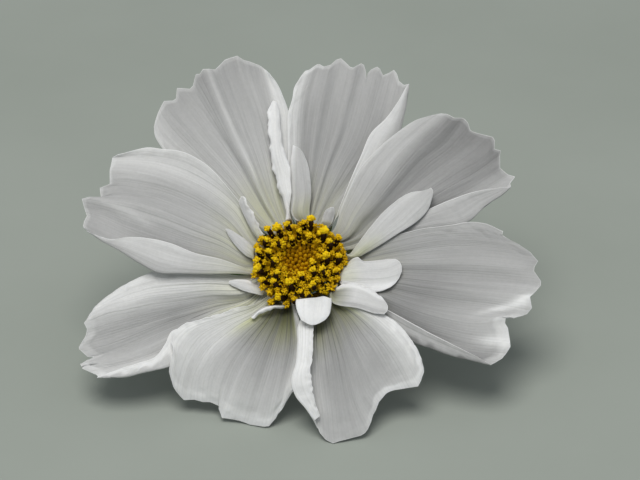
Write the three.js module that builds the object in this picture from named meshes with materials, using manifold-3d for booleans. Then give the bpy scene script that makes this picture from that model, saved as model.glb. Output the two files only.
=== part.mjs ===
// Cosmos flower as picked: one bloom lying on a surface, with a short piece of its stem.
// Millimetres, +Z up. The flower rests on the tips of its two lowest ray petals and on its stem.
// Origin: centre of the footprint, on the surface.
import * as THREE from "three";
import { mergeVertices } from "three/addons/utils/BufferGeometryUtils.js";
import Module from "manifold-3d";

// ---------------------------------------------------------------- driving dimensions
const HEAD_CENTRE = [-1.790, -11.375, 17.260];                      // centre of the disc, where the florets stand
const HEAD_TILT_DEG = 35;     // lean of the flower's axis from straight up, towards -Y

const PETAL_THICKNESS = 0.45;
const EXTRA_PETAL_THICKNESS = 0.42;
const BRACT_THICKNESS = 0.4;

const RECEPTACLE_RADIUS = 5.2;
const RECEPTACLE_DOME = 0.9;  // how far the dome stands above its rim
const STEM_RADIUS = 0.95;
const STEM_REACH = [6.0, 50.0]; // where the cut end lies from the disc's centre, along X and Y

const OUTER_BRACTS = 8;
const OUTER_BRACT_LENGTH = 8.6;
const OUTER_BRACT_WIDTH = 1.9;
const INNER_BRACTS = 8;
const INNER_BRACT_LENGTH = 7.2;
const INNER_BRACT_WIDTH = 5.0;

// rings of disc florets: [count, radius at the foot, radius at the top, height of the top, radius of the top]
const FLORET_RINGS = [
  { name: "disc_florets_outer_ring", count: 22, foot: 4.85, top: 6.75, height: 4.5, head: 0.55, turn: 3 },
  { name: "disc_florets_second_ring", count: 19, foot: 3.9, top: 5.35, height: 5.0, head: 0.52, turn: 8 },
  { name: "disc_florets_third_ring", count: 16, foot: 2.98, top: 3.95, height: 4.9, head: 0.48, turn: 0 },
];
const BUD_RINGS = [
  { count: 12, foot: 2.05, top: 2.75, height: 4.1, head: 0.42, turn: 5 },
  { count: 8, foot: 1.2, top: 1.65, height: 3.8, head: 0.42, turn: 11 },
  { count: 3, foot: 0.45, top: 0.6, height: 3.7, head: 0.42, turn: 40 },
];
const FLORET_FOOT_RADIUS = 0.32;
const FLORET_GAP_DEG = [-80, 9];  // an extra petal grows in the outer ring here, in place of its florets

// Each blade is given by its lengthwise ribs, from its foot to its outer edge, in clockwise order
// as seen from the flower's face, and by the line of its toothed outer edge: [rib number, x, y, z].
const BLADES = [
  {
    name: "ray_petal_1",
    rails: [
      [[-5.48,-7.62,20.14],[-9.46,-5.62,22.12],[-15.41,-2.12,25.21],[-21.41,2.03,28.74],[-26.01,4.83,31.09],[-27.27,6.47,32.53],[-27.49,7.91,33.49]],
      [[-5.13,-7.41,20.28],[-8.94,-4.37,23.37],[-14.04,0.63,27.99],[-19.35,5.06,31.57],[-23.65,9.28,34.49],[-25.83,11.96,36.23]],
      [[-4.82,-7.25,20.4],[-8.44,-2.98,24.11],[-12.67,2.54,29.03],[-17.13,7.9,33.28],[-20.91,12.4,36.27],[-22.55,14.27,37.48]],
      [[-4.43,-7.08,20.51],[-7.55,-3.7,24.61],[-10.54,1.11,28.93],[-14.1,6.57,33.3],[-17.36,12.81,37.67],[-19.02,16.47,40.08]],
      [[-4.1,-6.95,20.6],[-6.69,-2.66,24.53],[-9.17,2.87,29.44],[-11.87,9.01,34.24],[-14.24,14.72,38.15],[-15.71,18.16,40.4]],
      [[-3.75,-6.85,20.68],[-5.82,-2.84,24.86],[-7.59,2.85,29.87],[-9.75,8.98,34.68],[-11.93,14.98,38.82],[-13.05,18.9,41.4]],
      [[-3.4,-6.76,20.74],[-5.13,-2.2,24.85],[-6.38,3.23,29.63],[-7.83,9.36,34.44],[-9.64,14.69,38.17],[-10.74,18.28,40.53]],
      [[-3.12,-6.7,20.78],[-4.43,-2.36,24.95],[-5.33,3.07,29.73],[-6.24,8.9,34.31],[-7.51,13.84,37.86],[-8.6,17.26,40.11]],
      [[-2.83,-6.65,20.81],[-3.39,-2.0,24.71],[-3.41,3.44,29.48],[-3.51,7.98,32.82],[-3.88,10.69,35.05],[-4.67,11.94,36.86],[-5.82,13.82,38.7],[-7.16,15.36,39.83]],
    ],
    tip: [
      [0.0,-27.49,7.91,33.49], [0.185,-27.33,8.7,34.02], [0.529,-26.84,10.13,34.99], [1.0,-25.83,11.96,36.23], [1.309,-24.25,12.12,36.23], [1.433,-23.73,12.47,36.43],
      [1.794,-23.6,14.22,37.52], [2.0,-22.55,14.27,37.48], [2.215,-21.3,14.03,37.54], [2.345,-20.77,14.4,37.93], [2.71,-20.26,15.92,39.38], [2.834,-19.55,15.9,39.5],
      [3.0,-19.02,16.47,40.08], [3.548,-16.92,16.75,39.8], [4.0,-15.71,18.16,40.4], [4.251,-15.18,18.54,40.79], [4.569,-14.29,18.74,41.08], [5.0,-13.05,18.9,41.4],
      [5.498,-11.98,18.43,40.85], [6.0,-10.74,18.28,40.53], [6.656,-9.32,17.66,40.29], [7.0,-8.6,17.26,40.11], [8.0,-7.16,15.36,39.83],
    ],
  },
  {
    name: "ray_petal_2",
    rails: [
      [[-1.89,-6.58,20.86],[-3.2,-3.43,24.63],[-3.83,1.36,28.76],[-4.02,5.88,32.49],[-3.86,9.81,35.61],[-3.22,11.65,37.04],[-2.91,13.42,38.12],[-1.86,15.18,39.32]],
      [[-1.6,-6.58,20.86],[-1.81,-3.0,24.34],[-2.17,1.8,28.47],[-2.19,6.77,32.55],[-1.85,11.28,36.13],[-0.27,16.68,39.85]],
      [[-1.31,-6.59,20.85],[-1.29,-2.74,24.16],[-1.13,2.06,28.3],[-0.79,7.03,32.38],[-0.09,12.16,36.42],[1.67,17.85,40.28]],
      [[-1.02,-6.62,20.84],[-0.77,-3.09,24.4],[-0.07,1.71,28.53],[0.8,6.67,32.61],[1.85,11.79,36.65],[3.44,17.31,40.4]],
      [[-0.73,-6.65,20.81],[-0.07,-2.75,24.17],[1.15,2.04,28.31],[2.55,7.01,32.39],[3.97,12.64,36.74],[5.4,18.82,40.93]],
      [[-0.44,-6.7,20.78],[0.63,-3.11,24.41],[2.37,1.67,28.55],[4.3,6.64,32.63],[5.9,11.8,36.64],[7.52,16.92,40.12]],
      [[-0.16,-6.76,20.74],[1.32,-2.78,24.19],[3.42,2.0,28.34],[6.06,6.97,32.42],[7.85,12.18,36.41],[9.47,17.79,40.21]],
      [[0.12,-6.83,20.69],[2.02,-3.19,24.26],[4.82,1.42,28.3],[7.99,6.23,32.27],[9.95,11.27,36.14],[11.77,17.19,40.16]],
      [[0.4,-6.91,20.63],[2.72,-3.23,23.86],[6.22,1.21,27.81],[9.92,5.86,31.67],[12.06,10.61,35.31],[13.89,16.52,39.32]],
      [[0.6,-6.98,20.58],[3.42,-3.81,23.41],[7.44,0.5,27.03],[11.49,4.83,30.67],[13.81,8.97,34.06],[15.64,15.06,38.56]],
      [[0.8,-7.06,20.53],[4.28,-5.45,23.27],[8.46,-1.76,26.65],[12.5,1.93,29.85],[15.33,5.64,32.86],[16.42,9.02,35.28],[17.08,11.87,37.22],[17.37,13.94,38.63]],
      [[0.93,-7.11,20.49],[3.58,-6.64,22.41],[5.32,-3.93,25.39],[7.07,-0.71,28.46],[8.83,2.49,31.15],[10.59,5.65,33.68],[13.24,7.78,35.43],[15.19,10.16,37.04],[16.83,13.18,38.48]],
    ],
    tip: [
      [0.0,-1.86,15.18,39.32], [0.654,-0.98,16.38,39.82], [1.0,-0.27,16.68,39.85], [1.764,1.14,17.78,40.32], [2.0,1.67,17.85,40.28], [2.433,2.38,17.29,40.1],
      [3.0,3.44,17.31,40.4], [3.609,4.51,18.43,40.86], [4.0,5.4,18.82,40.93], [4.433,6.28,17.94,40.54], [4.797,6.99,17.16,40.18], [5.0,7.52,16.92,40.12],
      [5.732,8.94,17.92,40.44], [6.0,9.47,17.79,40.21], [6.218,9.82,16.62,39.47], [6.457,9.86,15.29,38.63], [6.64,10.08,16.18,39.32], [6.799,10.7,16.77,39.79],
      [7.0,11.77,17.19,40.16], [7.209,12.3,16.93,39.9], [7.624,12.82,16.02,39.11], [8.0,13.89,16.52,39.32], [8.322,14.78,16.93,39.7], [8.598,15.3,16.25,39.29],
      [9.0,15.64,15.06,38.56], [9.557,16.5,14.07,38.34], [10.0,17.37,13.94,38.63], [11.0,16.83,13.18,38.48],
    ],
  },
  {
    name: "ray_petal_3",
    rails: [
      [[2.07,-7.9,20.31],[4.01,-7.73,22.32],[5.31,-5.37,25.11],[6.97,-2.45,27.85],[8.63,-0.06,30.12],[10.73,1.81,31.7],[13.27,3.7,33.28],[16.17,5.51,34.81],[18.81,6.89,35.79],[20.91,7.44,36.17]],
      [[2.34,-8.1,20.17],[5.65,-8.57,22.06],[7.73,-6.39,24.55],[9.82,-4.18,26.82],[12.09,-1.83,29.21],[14.72,0.99,31.51],[17.35,3.24,33.37],[20.35,5.63,35.15],[22.83,7.55,36.49]],
      [[2.6,-8.31,20.02],[6.17,-9.23,21.68],[8.59,-7.21,24.06],[11.2,-5.17,26.23],[13.81,-2.96,28.5],[16.61,-0.15,30.8],[19.25,2.09,32.66],[22.25,4.35,34.31],[25.09,6.82,36.04]],
      [[2.79,-8.49,19.89],[6.69,-8.96,21.49],[9.81,-6.92,23.86],[12.94,-4.8,26.19],[16.25,-2.03,28.72],[19.59,0.62,30.92],[23.64,3.26,32.94],[27.04,7.04,35.59]],
      [[2.98,-8.68,19.76],[7.21,-8.95,21.27],[11.02,-6.76,23.76],[14.84,-4.72,26.13],[18.86,-2.13,28.37],[23.24,0.5,30.58],[26.6,2.65,32.09],[29.8,5.07,33.78]],
      [[3.15,-8.87,19.62],[7.55,-9.3,21.31],[12.23,-7.22,23.86],[16.73,-5.45,26.0],[21.44,-3.01,28.12],[25.82,-0.75,29.95],[29.34,1.09,31.24],[32.1,3.24,32.74]],
      [[3.35,-9.12,19.45],[7.9,-9.46,20.99],[13.43,-7.62,23.5],[18.63,-5.95,25.51],[23.86,-3.69,27.53],[28.41,-1.64,29.08],[33.0,0.96,30.9]],
      [[3.53,-9.38,19.26],[8.25,-9.62,20.68],[14.47,-8.11,22.8],[20.37,-6.48,24.61],[25.75,-4.91,26.26],[30.11,-3.23,27.85],[34.34,-1.05,29.37]],
      [[3.69,-9.65,19.07],[8.91,-11.12,21.11],[15.45,-10.12,23.14],[21.47,-9.66,24.18],[26.98,-9.12,24.96],[30.14,-6.89,26.57],[33.3,-4.92,27.94],[34.72,-3.86,28.69]],
      [[3.77,-9.82,18.96],[8.23,-10.41,21.45],[14.43,-9.2,23.97],[20.12,-7.39,26.28],[24.11,-6.11,27.5],[27.57,-5.17,28.32],[30.87,-4.56,28.74],[33.15,-4.06,28.61]],
    ],
    tip: [
      [0.0,20.91,7.44,36.17], [0.545,21.96,7.49,36.34], [1.0,22.83,7.55,36.49], [1.437,23.88,7.39,36.41], [2.0,25.09,6.82,36.04], [2.705,26.51,7.14,35.84],
      [3.0,27.04,7.04,35.59], [3.194,27.55,6.56,35.17], [3.499,27.88,5.58,34.35], [3.651,28.4,5.32,34.1], [4.0,29.8,5.07,33.78], [4.61,31.87,4.47,33.51],
      [4.803,32.17,3.89,33.15], [5.0,32.1,3.24,32.74], [5.189,32.05,2.66,32.29], [5.519,33.21,2.41,32.04], [5.763,32.97,1.69,31.47], [6.0,33.0,0.96,30.9],
      [6.401,32.97,-0.08,30.13], [7.0,34.34,-1.05,29.37], [7.37,35.51,-1.67,29.41], [7.789,34.58,-3.05,28.98], [8.0,34.72,-3.86,28.69], [9.0,33.15,-4.06,28.61],
    ],
  },
  {
    name: "ray_petal_4",
    rails: [
      [[4.19,-11.41,18.22],[7.19,-12.07,20.09],[11.3,-11.39,22.56],[15.42,-10.94,23.71],[18.86,-10.55,24.49],[24.01,-10.13,25.03],[26.94,-9.79,25.42],[29.68,-9.93,25.31],[33.09,-11.1,24.45]],
      [[4.21,-11.65,18.05],[7.53,-12.62,19.64],[12.84,-12.57,21.49],[18.5,-12.12,22.86],[23.99,-11.72,23.42],[29.47,-11.99,23.4],[35.8,-12.74,22.77]],
      [[4.21,-11.89,17.88],[7.7,-13.36,19.11],[14.04,-13.57,20.52],[19.51,-13.6,21.38],[24.83,-13.49,21.72],[30.13,-13.73,21.68],[38.68,-14.52,20.98]],
      [[4.2,-12.13,17.71],[7.86,-14.24,18.89],[14.54,-14.78,19.91],[20.17,-15.35,20.31],[25.46,-15.53,20.44],[30.76,-15.89,20.28],[38.27,-16.39,19.8]],
      [[4.17,-12.36,17.54],[8.03,-14.6,18.3],[14.7,-15.82,18.76],[20.5,-16.66,18.93],[25.78,-17.14,18.86],[31.07,-17.47,18.68],[39.43,-18.11,18.08]],
      [[4.14,-12.6,17.38],[8.02,-15.66,18.21],[14.67,-17.48,18.27],[20.45,-18.73,18.11],[25.88,-19.51,17.84],[30.64,-19.96,17.54],[37.45,-20.32,17.17]],
      [[4.08,-12.84,17.21],[8.02,-15.94,17.57],[14.32,-18.65,17.0],[19.92,-20.31,16.52],[25.17,-21.23,16.14],[29.76,-21.69,15.85],[36.37,-22.64,15.07]],
      [[4.02,-13.07,17.05],[7.84,-16.99,17.48],[13.61,-20.25,16.48],[19.18,-22.51,15.61],[24.08,-23.7,15.01],[28.82,-24.16,14.73],[33.27,-23.24,15.31]],
      [[3.96,-13.25,16.93],[7.68,-16.92,16.8],[12.93,-20.84,15.22],[18.33,-23.7,14.17],[23.39,-25.19,13.38],[28.46,-26.07,12.77],[33.87,-26.45,12.41]],
      [[3.89,-13.42,16.81],[7.34,-17.17,16.13],[12.25,-21.38,14.34],[17.32,-24.21,13.06],[22.54,-26.23,12.04],[27.08,-27.57,11.35],[33.16,-28.09,10.9]],
      [[3.82,-13.59,16.69],[6.81,-18.53,16.07],[12.22,-23.22,14.44],[17.27,-26.45,12.41],[21.12,-28.14,11.79],[25.31,-29.49,11.12],[27.83,-29.97,10.75],[30.52,-30.37,10.42]],
      [[3.73,-13.75,16.57],[7.49,-18.37,16.37],[12.91,-21.61,15.57],[16.94,-24.36,14.87],[20.28,-26.35,14.04],[23.62,-27.93,13.12],[26.64,-29.19,12.17],[29.33,-30.05,11.03]],
    ],
    tip: [
      [0.0,33.09,-11.1,24.45], [0.193,32.9,-11.7,23.92], [0.484,33.93,-12.11,23.48], [1.0,35.8,-12.74,22.77], [1.591,37.68,-13.63,21.82], [2.0,38.68,-14.52,20.98],
      [2.205,39.01,-14.83,20.79], [2.708,38.38,-15.77,20.19], [3.0,38.27,-16.39,19.8], [3.753,39.44,-17.6,18.56], [4.0,39.43,-18.11,18.08], [4.393,38.71,-19.02,17.69],
      [5.0,37.45,-20.32,17.17], [5.505,37.75,-21.77,15.91], [5.857,36.88,-22.54,15.21], [6.0,36.37,-22.64,15.07], [6.551,34.64,-23.25,15.0], [6.94,33.44,-23.14,15.34],
      [7.0,33.27,-23.24,15.31], [7.271,33.08,-24.14,14.5], [7.495,33.57,-24.77,13.91], [8.0,33.87,-26.45,12.41], [8.42,33.94,-27.21,11.72], [9.0,33.16,-28.09,10.9],
      [9.342,32.44,-29.07,10.59], [10.0,30.52,-30.37,10.42], [11.0,29.33,-30.05,11.03],
    ],
  },
  {
    name: "ray_petal_5",
    rails: [
      [[2.22,-15.6,15.52],[5.6,-19.74,16.31],[8.82,-21.56,16.81],[12.35,-23.76,16.12],[14.54,-24.9,15.27],[16.89,-26.97,13.44],[18.23,-28.35,11.95],[19.17,-30.02,9.4]],
      [[2.0,-15.76,15.41],[4.91,-20.26,16.27],[7.79,-22.26,16.48],[10.82,-24.53,15.84],[13.5,-26.66,14.27],[15.86,-28.58,12.13],[17.37,-30.3,10.04],[18.73,-31.64,7.88]],
      [[1.77,-15.9,15.31],[4.41,-19.99,15.65],[6.95,-22.46,15.15],[9.64,-25.35,13.92],[11.99,-27.77,12.14],[13.84,-29.78,9.85],[16.03,-32.13,6.66]],
      [[1.53,-16.04,15.21],[3.72,-20.05,15.28],[5.93,-23.13,14.37],[7.94,-26.69,12.6],[9.78,-29.53,10.52],[11.3,-31.34,8.29],[12.98,-32.89,6.29]],
      [[1.28,-16.17,15.12],[3.21,-20.43,15.34],[4.9,-24.19,14.11],[6.41,-28.1,11.97],[7.91,-31.31,9.34],[9.26,-33.7,6.5],[11.11,-35.03,4.34]],
      [[1.03,-16.29,15.04],[2.7,-20.22,14.97],[3.71,-24.53,13.52],[4.89,-28.57,11.27],[5.89,-32.02,8.39],[6.89,-34.87,5.07],[8.58,-37.5,0.82]],
      [[0.76,-16.4,14.97],[2.19,-20.53,14.99],[2.69,-24.63,13.59],[3.36,-28.88,11.3],[4.03,-32.72,8.09],[4.53,-35.81,4.53],[5.04,-38.43,0.39]],
      [[0.5,-16.49,14.9],[1.5,-20.31,14.61],[1.5,-24.46,13.25],[1.67,-28.78,11.01],[2.01,-32.79,7.72],[2.51,-35.88,4.16],[2.85,-38.28,0.38]],
      [[0.22,-16.58,14.84],[0.65,-20.13,14.06],[-0.2,-23.83,12.77],[-0.36,-28.01,10.84],[-0.52,-31.59,8.49],[0.33,-34.78,5.22],[1.34,-37.06,2.09]],
      [[-0.06,-16.65,14.78],[-0.71,-21.96,14.99],[-1.89,-24.04,14.21],[-2.04,-27.64,12.9],[-2.29,-30.39,10.96],[-3.04,-33.31,8.55],[-2.36,-34.64,7.04],[-0.68,-35.96,5.51],[0.83,-37.14,3.89]],
      [[-0.34,-16.72,14.74],[0.14,-22.36,15.08],[0.49,-25.49,14.87],[0.49,-28.45,13.72],[0.41,-30.72,12.07],[0.16,-32.99,10.43],[0.5,-34.75,8.2],[1.0,-35.76,6.43],[1.67,-36.68,4.37]],
    ],
    tip: [
      [0.0,19.17,-30.02,9.4], [0.298,19.25,-30.52,8.94], [1.0,18.73,-31.64,7.88], [1.323,18.22,-32.24,7.17], [2.0,16.03,-32.13,6.66], [2.541,14.34,-32.4,6.55],
      [2.821,13.49,-32.65,6.43], [3.0,12.98,-32.89,6.29], [3.137,12.64,-33.13,6.06], [3.585,11.63,-34.0,5.24], [4.0,11.11,-35.03,4.34], [4.192,10.61,-35.52,3.65],
      [4.431,10.27,-36.24,2.72], [4.681,9.76,-36.94,1.78], [4.845,9.26,-37.32,1.22], [5.0,8.58,-37.5,0.82], [5.62,6.39,-38.09,0.54], [6.0,5.04,-38.43,0.39],
      [6.526,3.86,-38.75,0.11], [7.0,2.85,-38.28,0.38], [7.159,2.52,-38.16,0.6], [7.657,1.67,-37.58,1.43], [8.0,1.34,-37.06,2.09], [9.0,0.83,-37.14,3.89],
      [10.0,1.67,-36.68,4.37],
    ],
  },
  {
    name: "ray_petal_6",
    rails: [
      [[-3.24,-16.43,14.33],[-2.1,-19.88,12.8],[-1.23,-23.28,11.29],[-0.88,-26.39,10.02],[-1.21,-29.25,8.38],[-2.22,-31.15,6.86],[-3.24,-31.94,5.54]],
      [[-3.59,-16.35,14.39],[-2.95,-20.78,13.05],[-2.41,-25.39,11.18],[-2.73,-28.85,8.92],[-3.74,-31.63,6.37],[-4.76,-33.5,3.22]],
      [[-3.94,-16.25,14.46],[-3.8,-21.27,13.2],[-4.1,-26.06,11.27],[-4.93,-29.65,8.69],[-5.94,-32.38,5.45],[-6.98,-34.45,0.4]],
      [[-4.28,-16.13,14.54],[-4.83,-21.05,13.03],[-5.98,-25.69,11.2],[-7.3,-29.53,8.38],[-8.66,-32.14,4.84],[-10.22,-33.76,0.17]],
      [[-4.61,-16.0,14.63],[-5.85,-21.21,13.36],[-8.01,-25.83,11.52],[-10.18,-29.61,8.66],[-11.88,-31.84,5.03],[-13.11,-33.15,0.77]],
      [[-4.92,-15.85,14.74],[-6.88,-20.75,13.45],[-10.06,-25.21,11.69],[-12.91,-28.57,9.13],[-14.61,-30.64,5.59],[-15.5,-31.87,2.02]],
      [[-5.17,-15.72,14.83],[-7.9,-20.68,13.82],[-11.93,-24.5,12.43],[-15.63,-27.49,10.01],[-17.69,-29.27,6.67],[-18.25,-30.78,2.67]],
      [[-5.41,-15.58,14.92],[-8.93,-20.18,14.09],[-13.82,-23.38,13.08],[-18.04,-26.01,11.01],[-20.08,-27.99,8.25],[-21.13,-29.35,5.22],[-21.5,-30.39,2.8]],
      [[-5.64,-15.43,15.03],[-9.62,-19.92,14.54],[-15.02,-22.69,14.05],[-19.57,-24.68,12.78],[-21.76,-26.64,10.64],[-22.77,-28.66,7.91],[-23.32,-29.69,5.27]],
      [[-5.8,-15.31,15.11],[-10.29,-20.0,15.17],[-12.66,-20.81,15.28],[-15.02,-21.95,15.09],[-18.73,-23.13,14.59],[-22.13,-23.88,13.66],[-23.56,-24.92,12.74],[-23.33,-27.25,11.11],[-23.77,-28.25,9.31],[-23.95,-28.97,7.73]],
    ],
    tip: [
      [0.0,-3.24,-31.94,5.54], [0.192,-3.57,-32.21,5.11], [1.0,-4.76,-33.5,3.22], [1.285,-5.44,-33.74,2.44], [1.497,-5.78,-34.01,1.79], [2.0,-6.98,-34.45,0.4],
      [2.262,-7.83,-34.4,0.25], [3.0,-10.22,-33.76,0.17], [3.597,-11.92,-33.32,0.58], [4.0,-13.11,-33.15,0.77], [4.539,-14.98,-33.06,1.02], [5.0,-15.5,-31.87,2.02],
      [5.151,-15.51,-31.43,2.32], [5.647,-17.05,-30.81,2.69], [6.0,-18.25,-30.78,2.67], [6.432,-19.62,-30.38,2.89], [7.0,-21.5,-30.39,2.8], [7.316,-22.16,-30.23,3.54],
      [7.674,-22.83,-29.98,4.42], [8.0,-23.32,-29.69,5.27], [9.0,-23.95,-28.97,7.73],
    ],
  },
  {
    name: "ray_petal_7",
    rails: [
      [[-6.64,-14.38,15.4],[-8.3,-17.64,14.14],[-15.45,-20.76,12.61],[-20.54,-22.24,12.22],[-23.58,-23.13,12.03],[-24.69,-25.46,11.02],[-26.33,-27.55,9.84],[-28.85,-28.31,9.26],[-31.38,-28.94,8.78],[-34.29,-29.28,7.75]],
      [[-6.77,-14.23,15.5],[-8.98,-17.84,13.85],[-15.94,-22.32,11.43],[-20.13,-25.39,9.9],[-23.8,-28.23,8.44],[-26.32,-28.92,8.12],[-28.85,-29.33,7.8],[-31.38,-29.81,7.42],[-33.92,-29.96,7.28],[-36.13,-29.91,7.28]],
      [[-6.89,-14.08,15.61],[-9.68,-17.21,13.82],[-16.14,-20.99,11.92],[-20.7,-23.62,10.48],[-24.58,-25.55,9.16],[-28.44,-27.09,8.42],[-32.0,-27.85,7.82],[-36.39,-28.86,7.04]],
      [[-7.04,-13.87,15.76],[-10.2,-17.1,14.16],[-16.33,-19.93,12.84],[-21.24,-22.3,11.62],[-26.29,-24.74,10.26],[-31.35,-26.5,9.04],[-38.79,-27.87,7.95]],
      [[-7.17,-13.66,15.9],[-10.39,-16.37,14.05],[-16.54,-18.59,13.13],[-21.63,-20.68,12.12],[-26.54,-22.67,11.05],[-31.26,-24.49,9.85],[-37.02,-26.03,8.67]],
      [[-7.3,-13.44,16.06],[-10.55,-16.4,14.4],[-16.71,-18.16,13.77],[-21.64,-19.73,13.12],[-26.56,-21.27,12.35],[-31.13,-22.84,11.39],[-39.43,-24.94,9.77]],
      [[-7.43,-13.16,16.25],[-10.72,-16.52,14.81],[-16.88,-17.67,14.58],[-21.99,-19.02,14.09],[-26.91,-20.27,13.52],[-31.16,-21.28,12.99],[-38.19,-22.95,11.69]],
      [[-7.55,-12.88,16.45],[-11.05,-16.61,15.61],[-17.55,-17.4,15.66],[-23.17,-18.39,15.43],[-27.43,-19.01,15.25],[-30.82,-19.82,14.89],[-34.57,-20.43,14.39],[-38.28,-21.86,13.32]],
      [[-7.65,-12.53,16.7],[-11.24,-15.2,16.19],[-17.73,-16.31,16.88],[-23.52,-17.04,17.09],[-27.46,-17.32,16.77],[-30.9,-17.85,15.88],[-33.98,-18.6,14.84],[-37.37,-19.95,13.71]],
      [[-7.73,-12.17,16.94],[-11.09,-13.71,17.02],[-17.59,-14.37,18.34],[-22.71,-14.56,19.12],[-26.14,-14.86,18.91],[-28.9,-15.34,17.98],[-31.81,-16.27,16.75],[-34.39,-17.23,15.43],[-36.43,-18.28,14.28]],
    ],
    tip: [
      [0.0,-34.29,-29.28,7.75], [1.0,-36.13,-29.91,7.28], [1.436,-36.0,-29.4,7.21], [2.0,-36.39,-28.86,7.04], [2.715,-38.79,-28.05,7.76], [2.883,-38.46,-27.64,8.09],
      [3.0,-38.79,-27.87,7.95], [3.215,-39.16,-27.28,8.24], [3.984,-37.01,-26.08,8.65], [4.0,-37.02,-26.03,8.67], [4.277,-37.86,-26.09,8.72], [4.945,-39.42,-25.08,9.66],
      [5.0,-39.43,-24.94,9.77], [5.056,-39.43,-24.82,9.89], [5.83,-38.27,-23.33,11.33], [6.0,-38.19,-22.95,11.69], [6.235,-38.11,-22.65,12.1], [6.753,-38.62,-22.08,12.95],
      [7.0,-38.28,-21.86,13.32], [7.73,-37.68,-20.42,13.63], [8.0,-37.37,-19.95,13.71], [9.0,-36.43,-18.28,14.28],
    ],
  },
  {
    name: "ray_petal_8",
    rails: [
      [[-7.78,-11.38,17.99],[-9.53,-13.72,17.88],[-12.07,-14.19,19.27],[-15.49,-13.92,20.56],[-19.76,-13.7,21.66],[-24.05,-12.68,23.04],[-27.48,-12.25,23.69],[-30.88,-12.36,24.07],[-34.31,-12.59,23.81],[-37.29,-11.44,23.95]],
      [[-7.76,-11.2,18.12],[-9.87,-13.99,17.65],[-12.92,-15.14,18.47],[-18.03,-16.0,18.99],[-22.27,-16.52,19.47],[-26.02,-16.62,19.75],[-29.12,-15.49,20.83],[-32.58,-13.88,22.21],[-36.07,-12.19,23.33],[-38.89,-10.43,24.51]],
      [[-7.73,-11.02,18.24],[-10.07,-12.8,17.64],[-15.55,-13.28,18.83],[-20.68,-13.47,19.82],[-25.83,-13.03,20.77],[-29.61,-12.04,21.96],[-33.42,-10.84,23.22],[-39.01,-8.66,24.64]],
      [[-7.67,-10.72,18.45],[-10.06,-12.23,18.51],[-15.39,-11.46,20.71],[-21.23,-10.89,22.42],[-26.92,-9.68,23.88],[-32.11,-8.47,25.14],[-35.77,-7.21,25.95],[-39.08,-6.56,26.34]],
      [[-7.58,-10.43,18.65],[-9.89,-11.63,19.36],[-15.06,-10.16,22.12],[-20.73,-9.01,24.26],[-26.27,-7.48,25.92],[-31.46,-6.4,27.07],[-35.28,-5.9,27.35],[-38.57,-5.48,27.59]],
      [[-7.47,-10.14,18.85],[-9.74,-10.47,19.59],[-14.41,-8.09,22.99],[-20.12,-6.21,25.68],[-25.67,-4.66,27.35],[-30.87,-3.98,28.15],[-33.65,-3.65,28.34],[-36.42,-3.84,28.15]],
      [[-7.35,-9.86,19.05],[-9.4,-9.82,20.4],[-13.73,-6.75,24.37],[-18.93,-4.37,27.36],[-24.49,-2.66,29.14],[-29.36,-1.82,30.03],[-32.5,-1.32,30.33],[-34.81,-1.29,30.31]],
      [[-7.16,-9.53,19.28],[-9.06,-8.81,20.96],[-12.54,-4.83,25.58],[-17.07,-2.07,28.74],[-22.13,-0.03,30.72],[-27.18,0.81,31.63],[-31.02,1.08,31.76],[-34.41,0.96,31.63]],
      [[-6.88,-9.11,19.58],[-8.37,-8.33,21.89],[-10.44,-6.61,24.28],[-13.93,-3.42,27.77],[-18.65,0.14,31.23],[-22.32,1.47,32.54],[-25.97,1.78,32.92],[-28.24,2.02,33.05],[-31.0,1.48,32.64],[-33.42,0.89,32.2]],
    ],
    tip: [
      [0.0,-37.29,-11.44,23.95], [1.0,-38.89,-10.43,24.51], [1.395,-39.11,-9.74,24.55], [2.0,-39.01,-8.66,24.64], [2.414,-38.52,-7.82,25.32], [3.0,-39.08,-6.56,26.34],
      [3.612,-39.45,-5.57,27.34], [4.0,-38.57,-5.48,27.59], [4.134,-38.07,-5.35,27.61], [4.622,-36.18,-5.29,27.36], [5.0,-36.42,-3.84,28.15], [5.06,-36.42,-3.63,28.32],
      [5.482,-34.73,-3.13,28.83], [6.0,-34.81,-1.29,30.31], [7.0,-34.41,0.96,31.63], [8.0,-33.42,0.89,32.2],
    ],
  },
  {
    name: "extra_petal_1",
    rails: [
      [[-4.52,-6.81,22.53],[-4.14,-5.2,24.15],[-5.1,-3.2,26.16],[-5.98,-1.7,27.45],[-6.43,0.57,29.29],[-7.14,2.39,30.8],[-7.36,4.52,32.54],[-7.44,7.06,34.44],[-7.4,9.08,35.86],[-6.94,10.49,36.84]],
      [[-4.09,-6.68,22.63],[-3.96,-5.46,24.33],[-4.58,-3.56,26.4],[-5.36,-2.15,27.75],[-5.81,0.12,29.58],[-6.43,1.94,31.1],[-6.79,4.06,32.83],[-6.94,6.69,34.67],[-6.92,8.81,36.03],[-6.58,10.6,37.29]],
      [[-3.58,-6.55,22.71],[-3.67,-5.55,24.39],[-3.97,-3.74,26.52],[-4.41,-2.33,27.87],[-4.85,-0.15,29.76],[-5.47,1.76,31.21],[-5.92,3.97,32.89],[-6.11,6.6,34.73],[-6.13,8.81,36.03],[-6.06,10.54,37.12]],
      [[-3.06,-6.46,22.78],[-3.7,-6.08,24.75],[-3.42,-4.13,26.79],[-3.28,-1.89,28.42],[-3.55,0.16,29.97],[-4.17,2.0,31.26],[-4.7,3.63,32.28],[-5.15,5.88,33.74],[-5.43,8.15,35.2],[-5.71,10.11,36.45]],
    ],
    tip: [
      [0.0,-6.94,10.49,36.84], [1.0,-6.58,10.6,37.29], [2.0,-6.06,10.54,37.12], [3.0,-5.71,10.11,36.45],
    ],
  },
  {
    name: "extra_petal_2",
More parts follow.
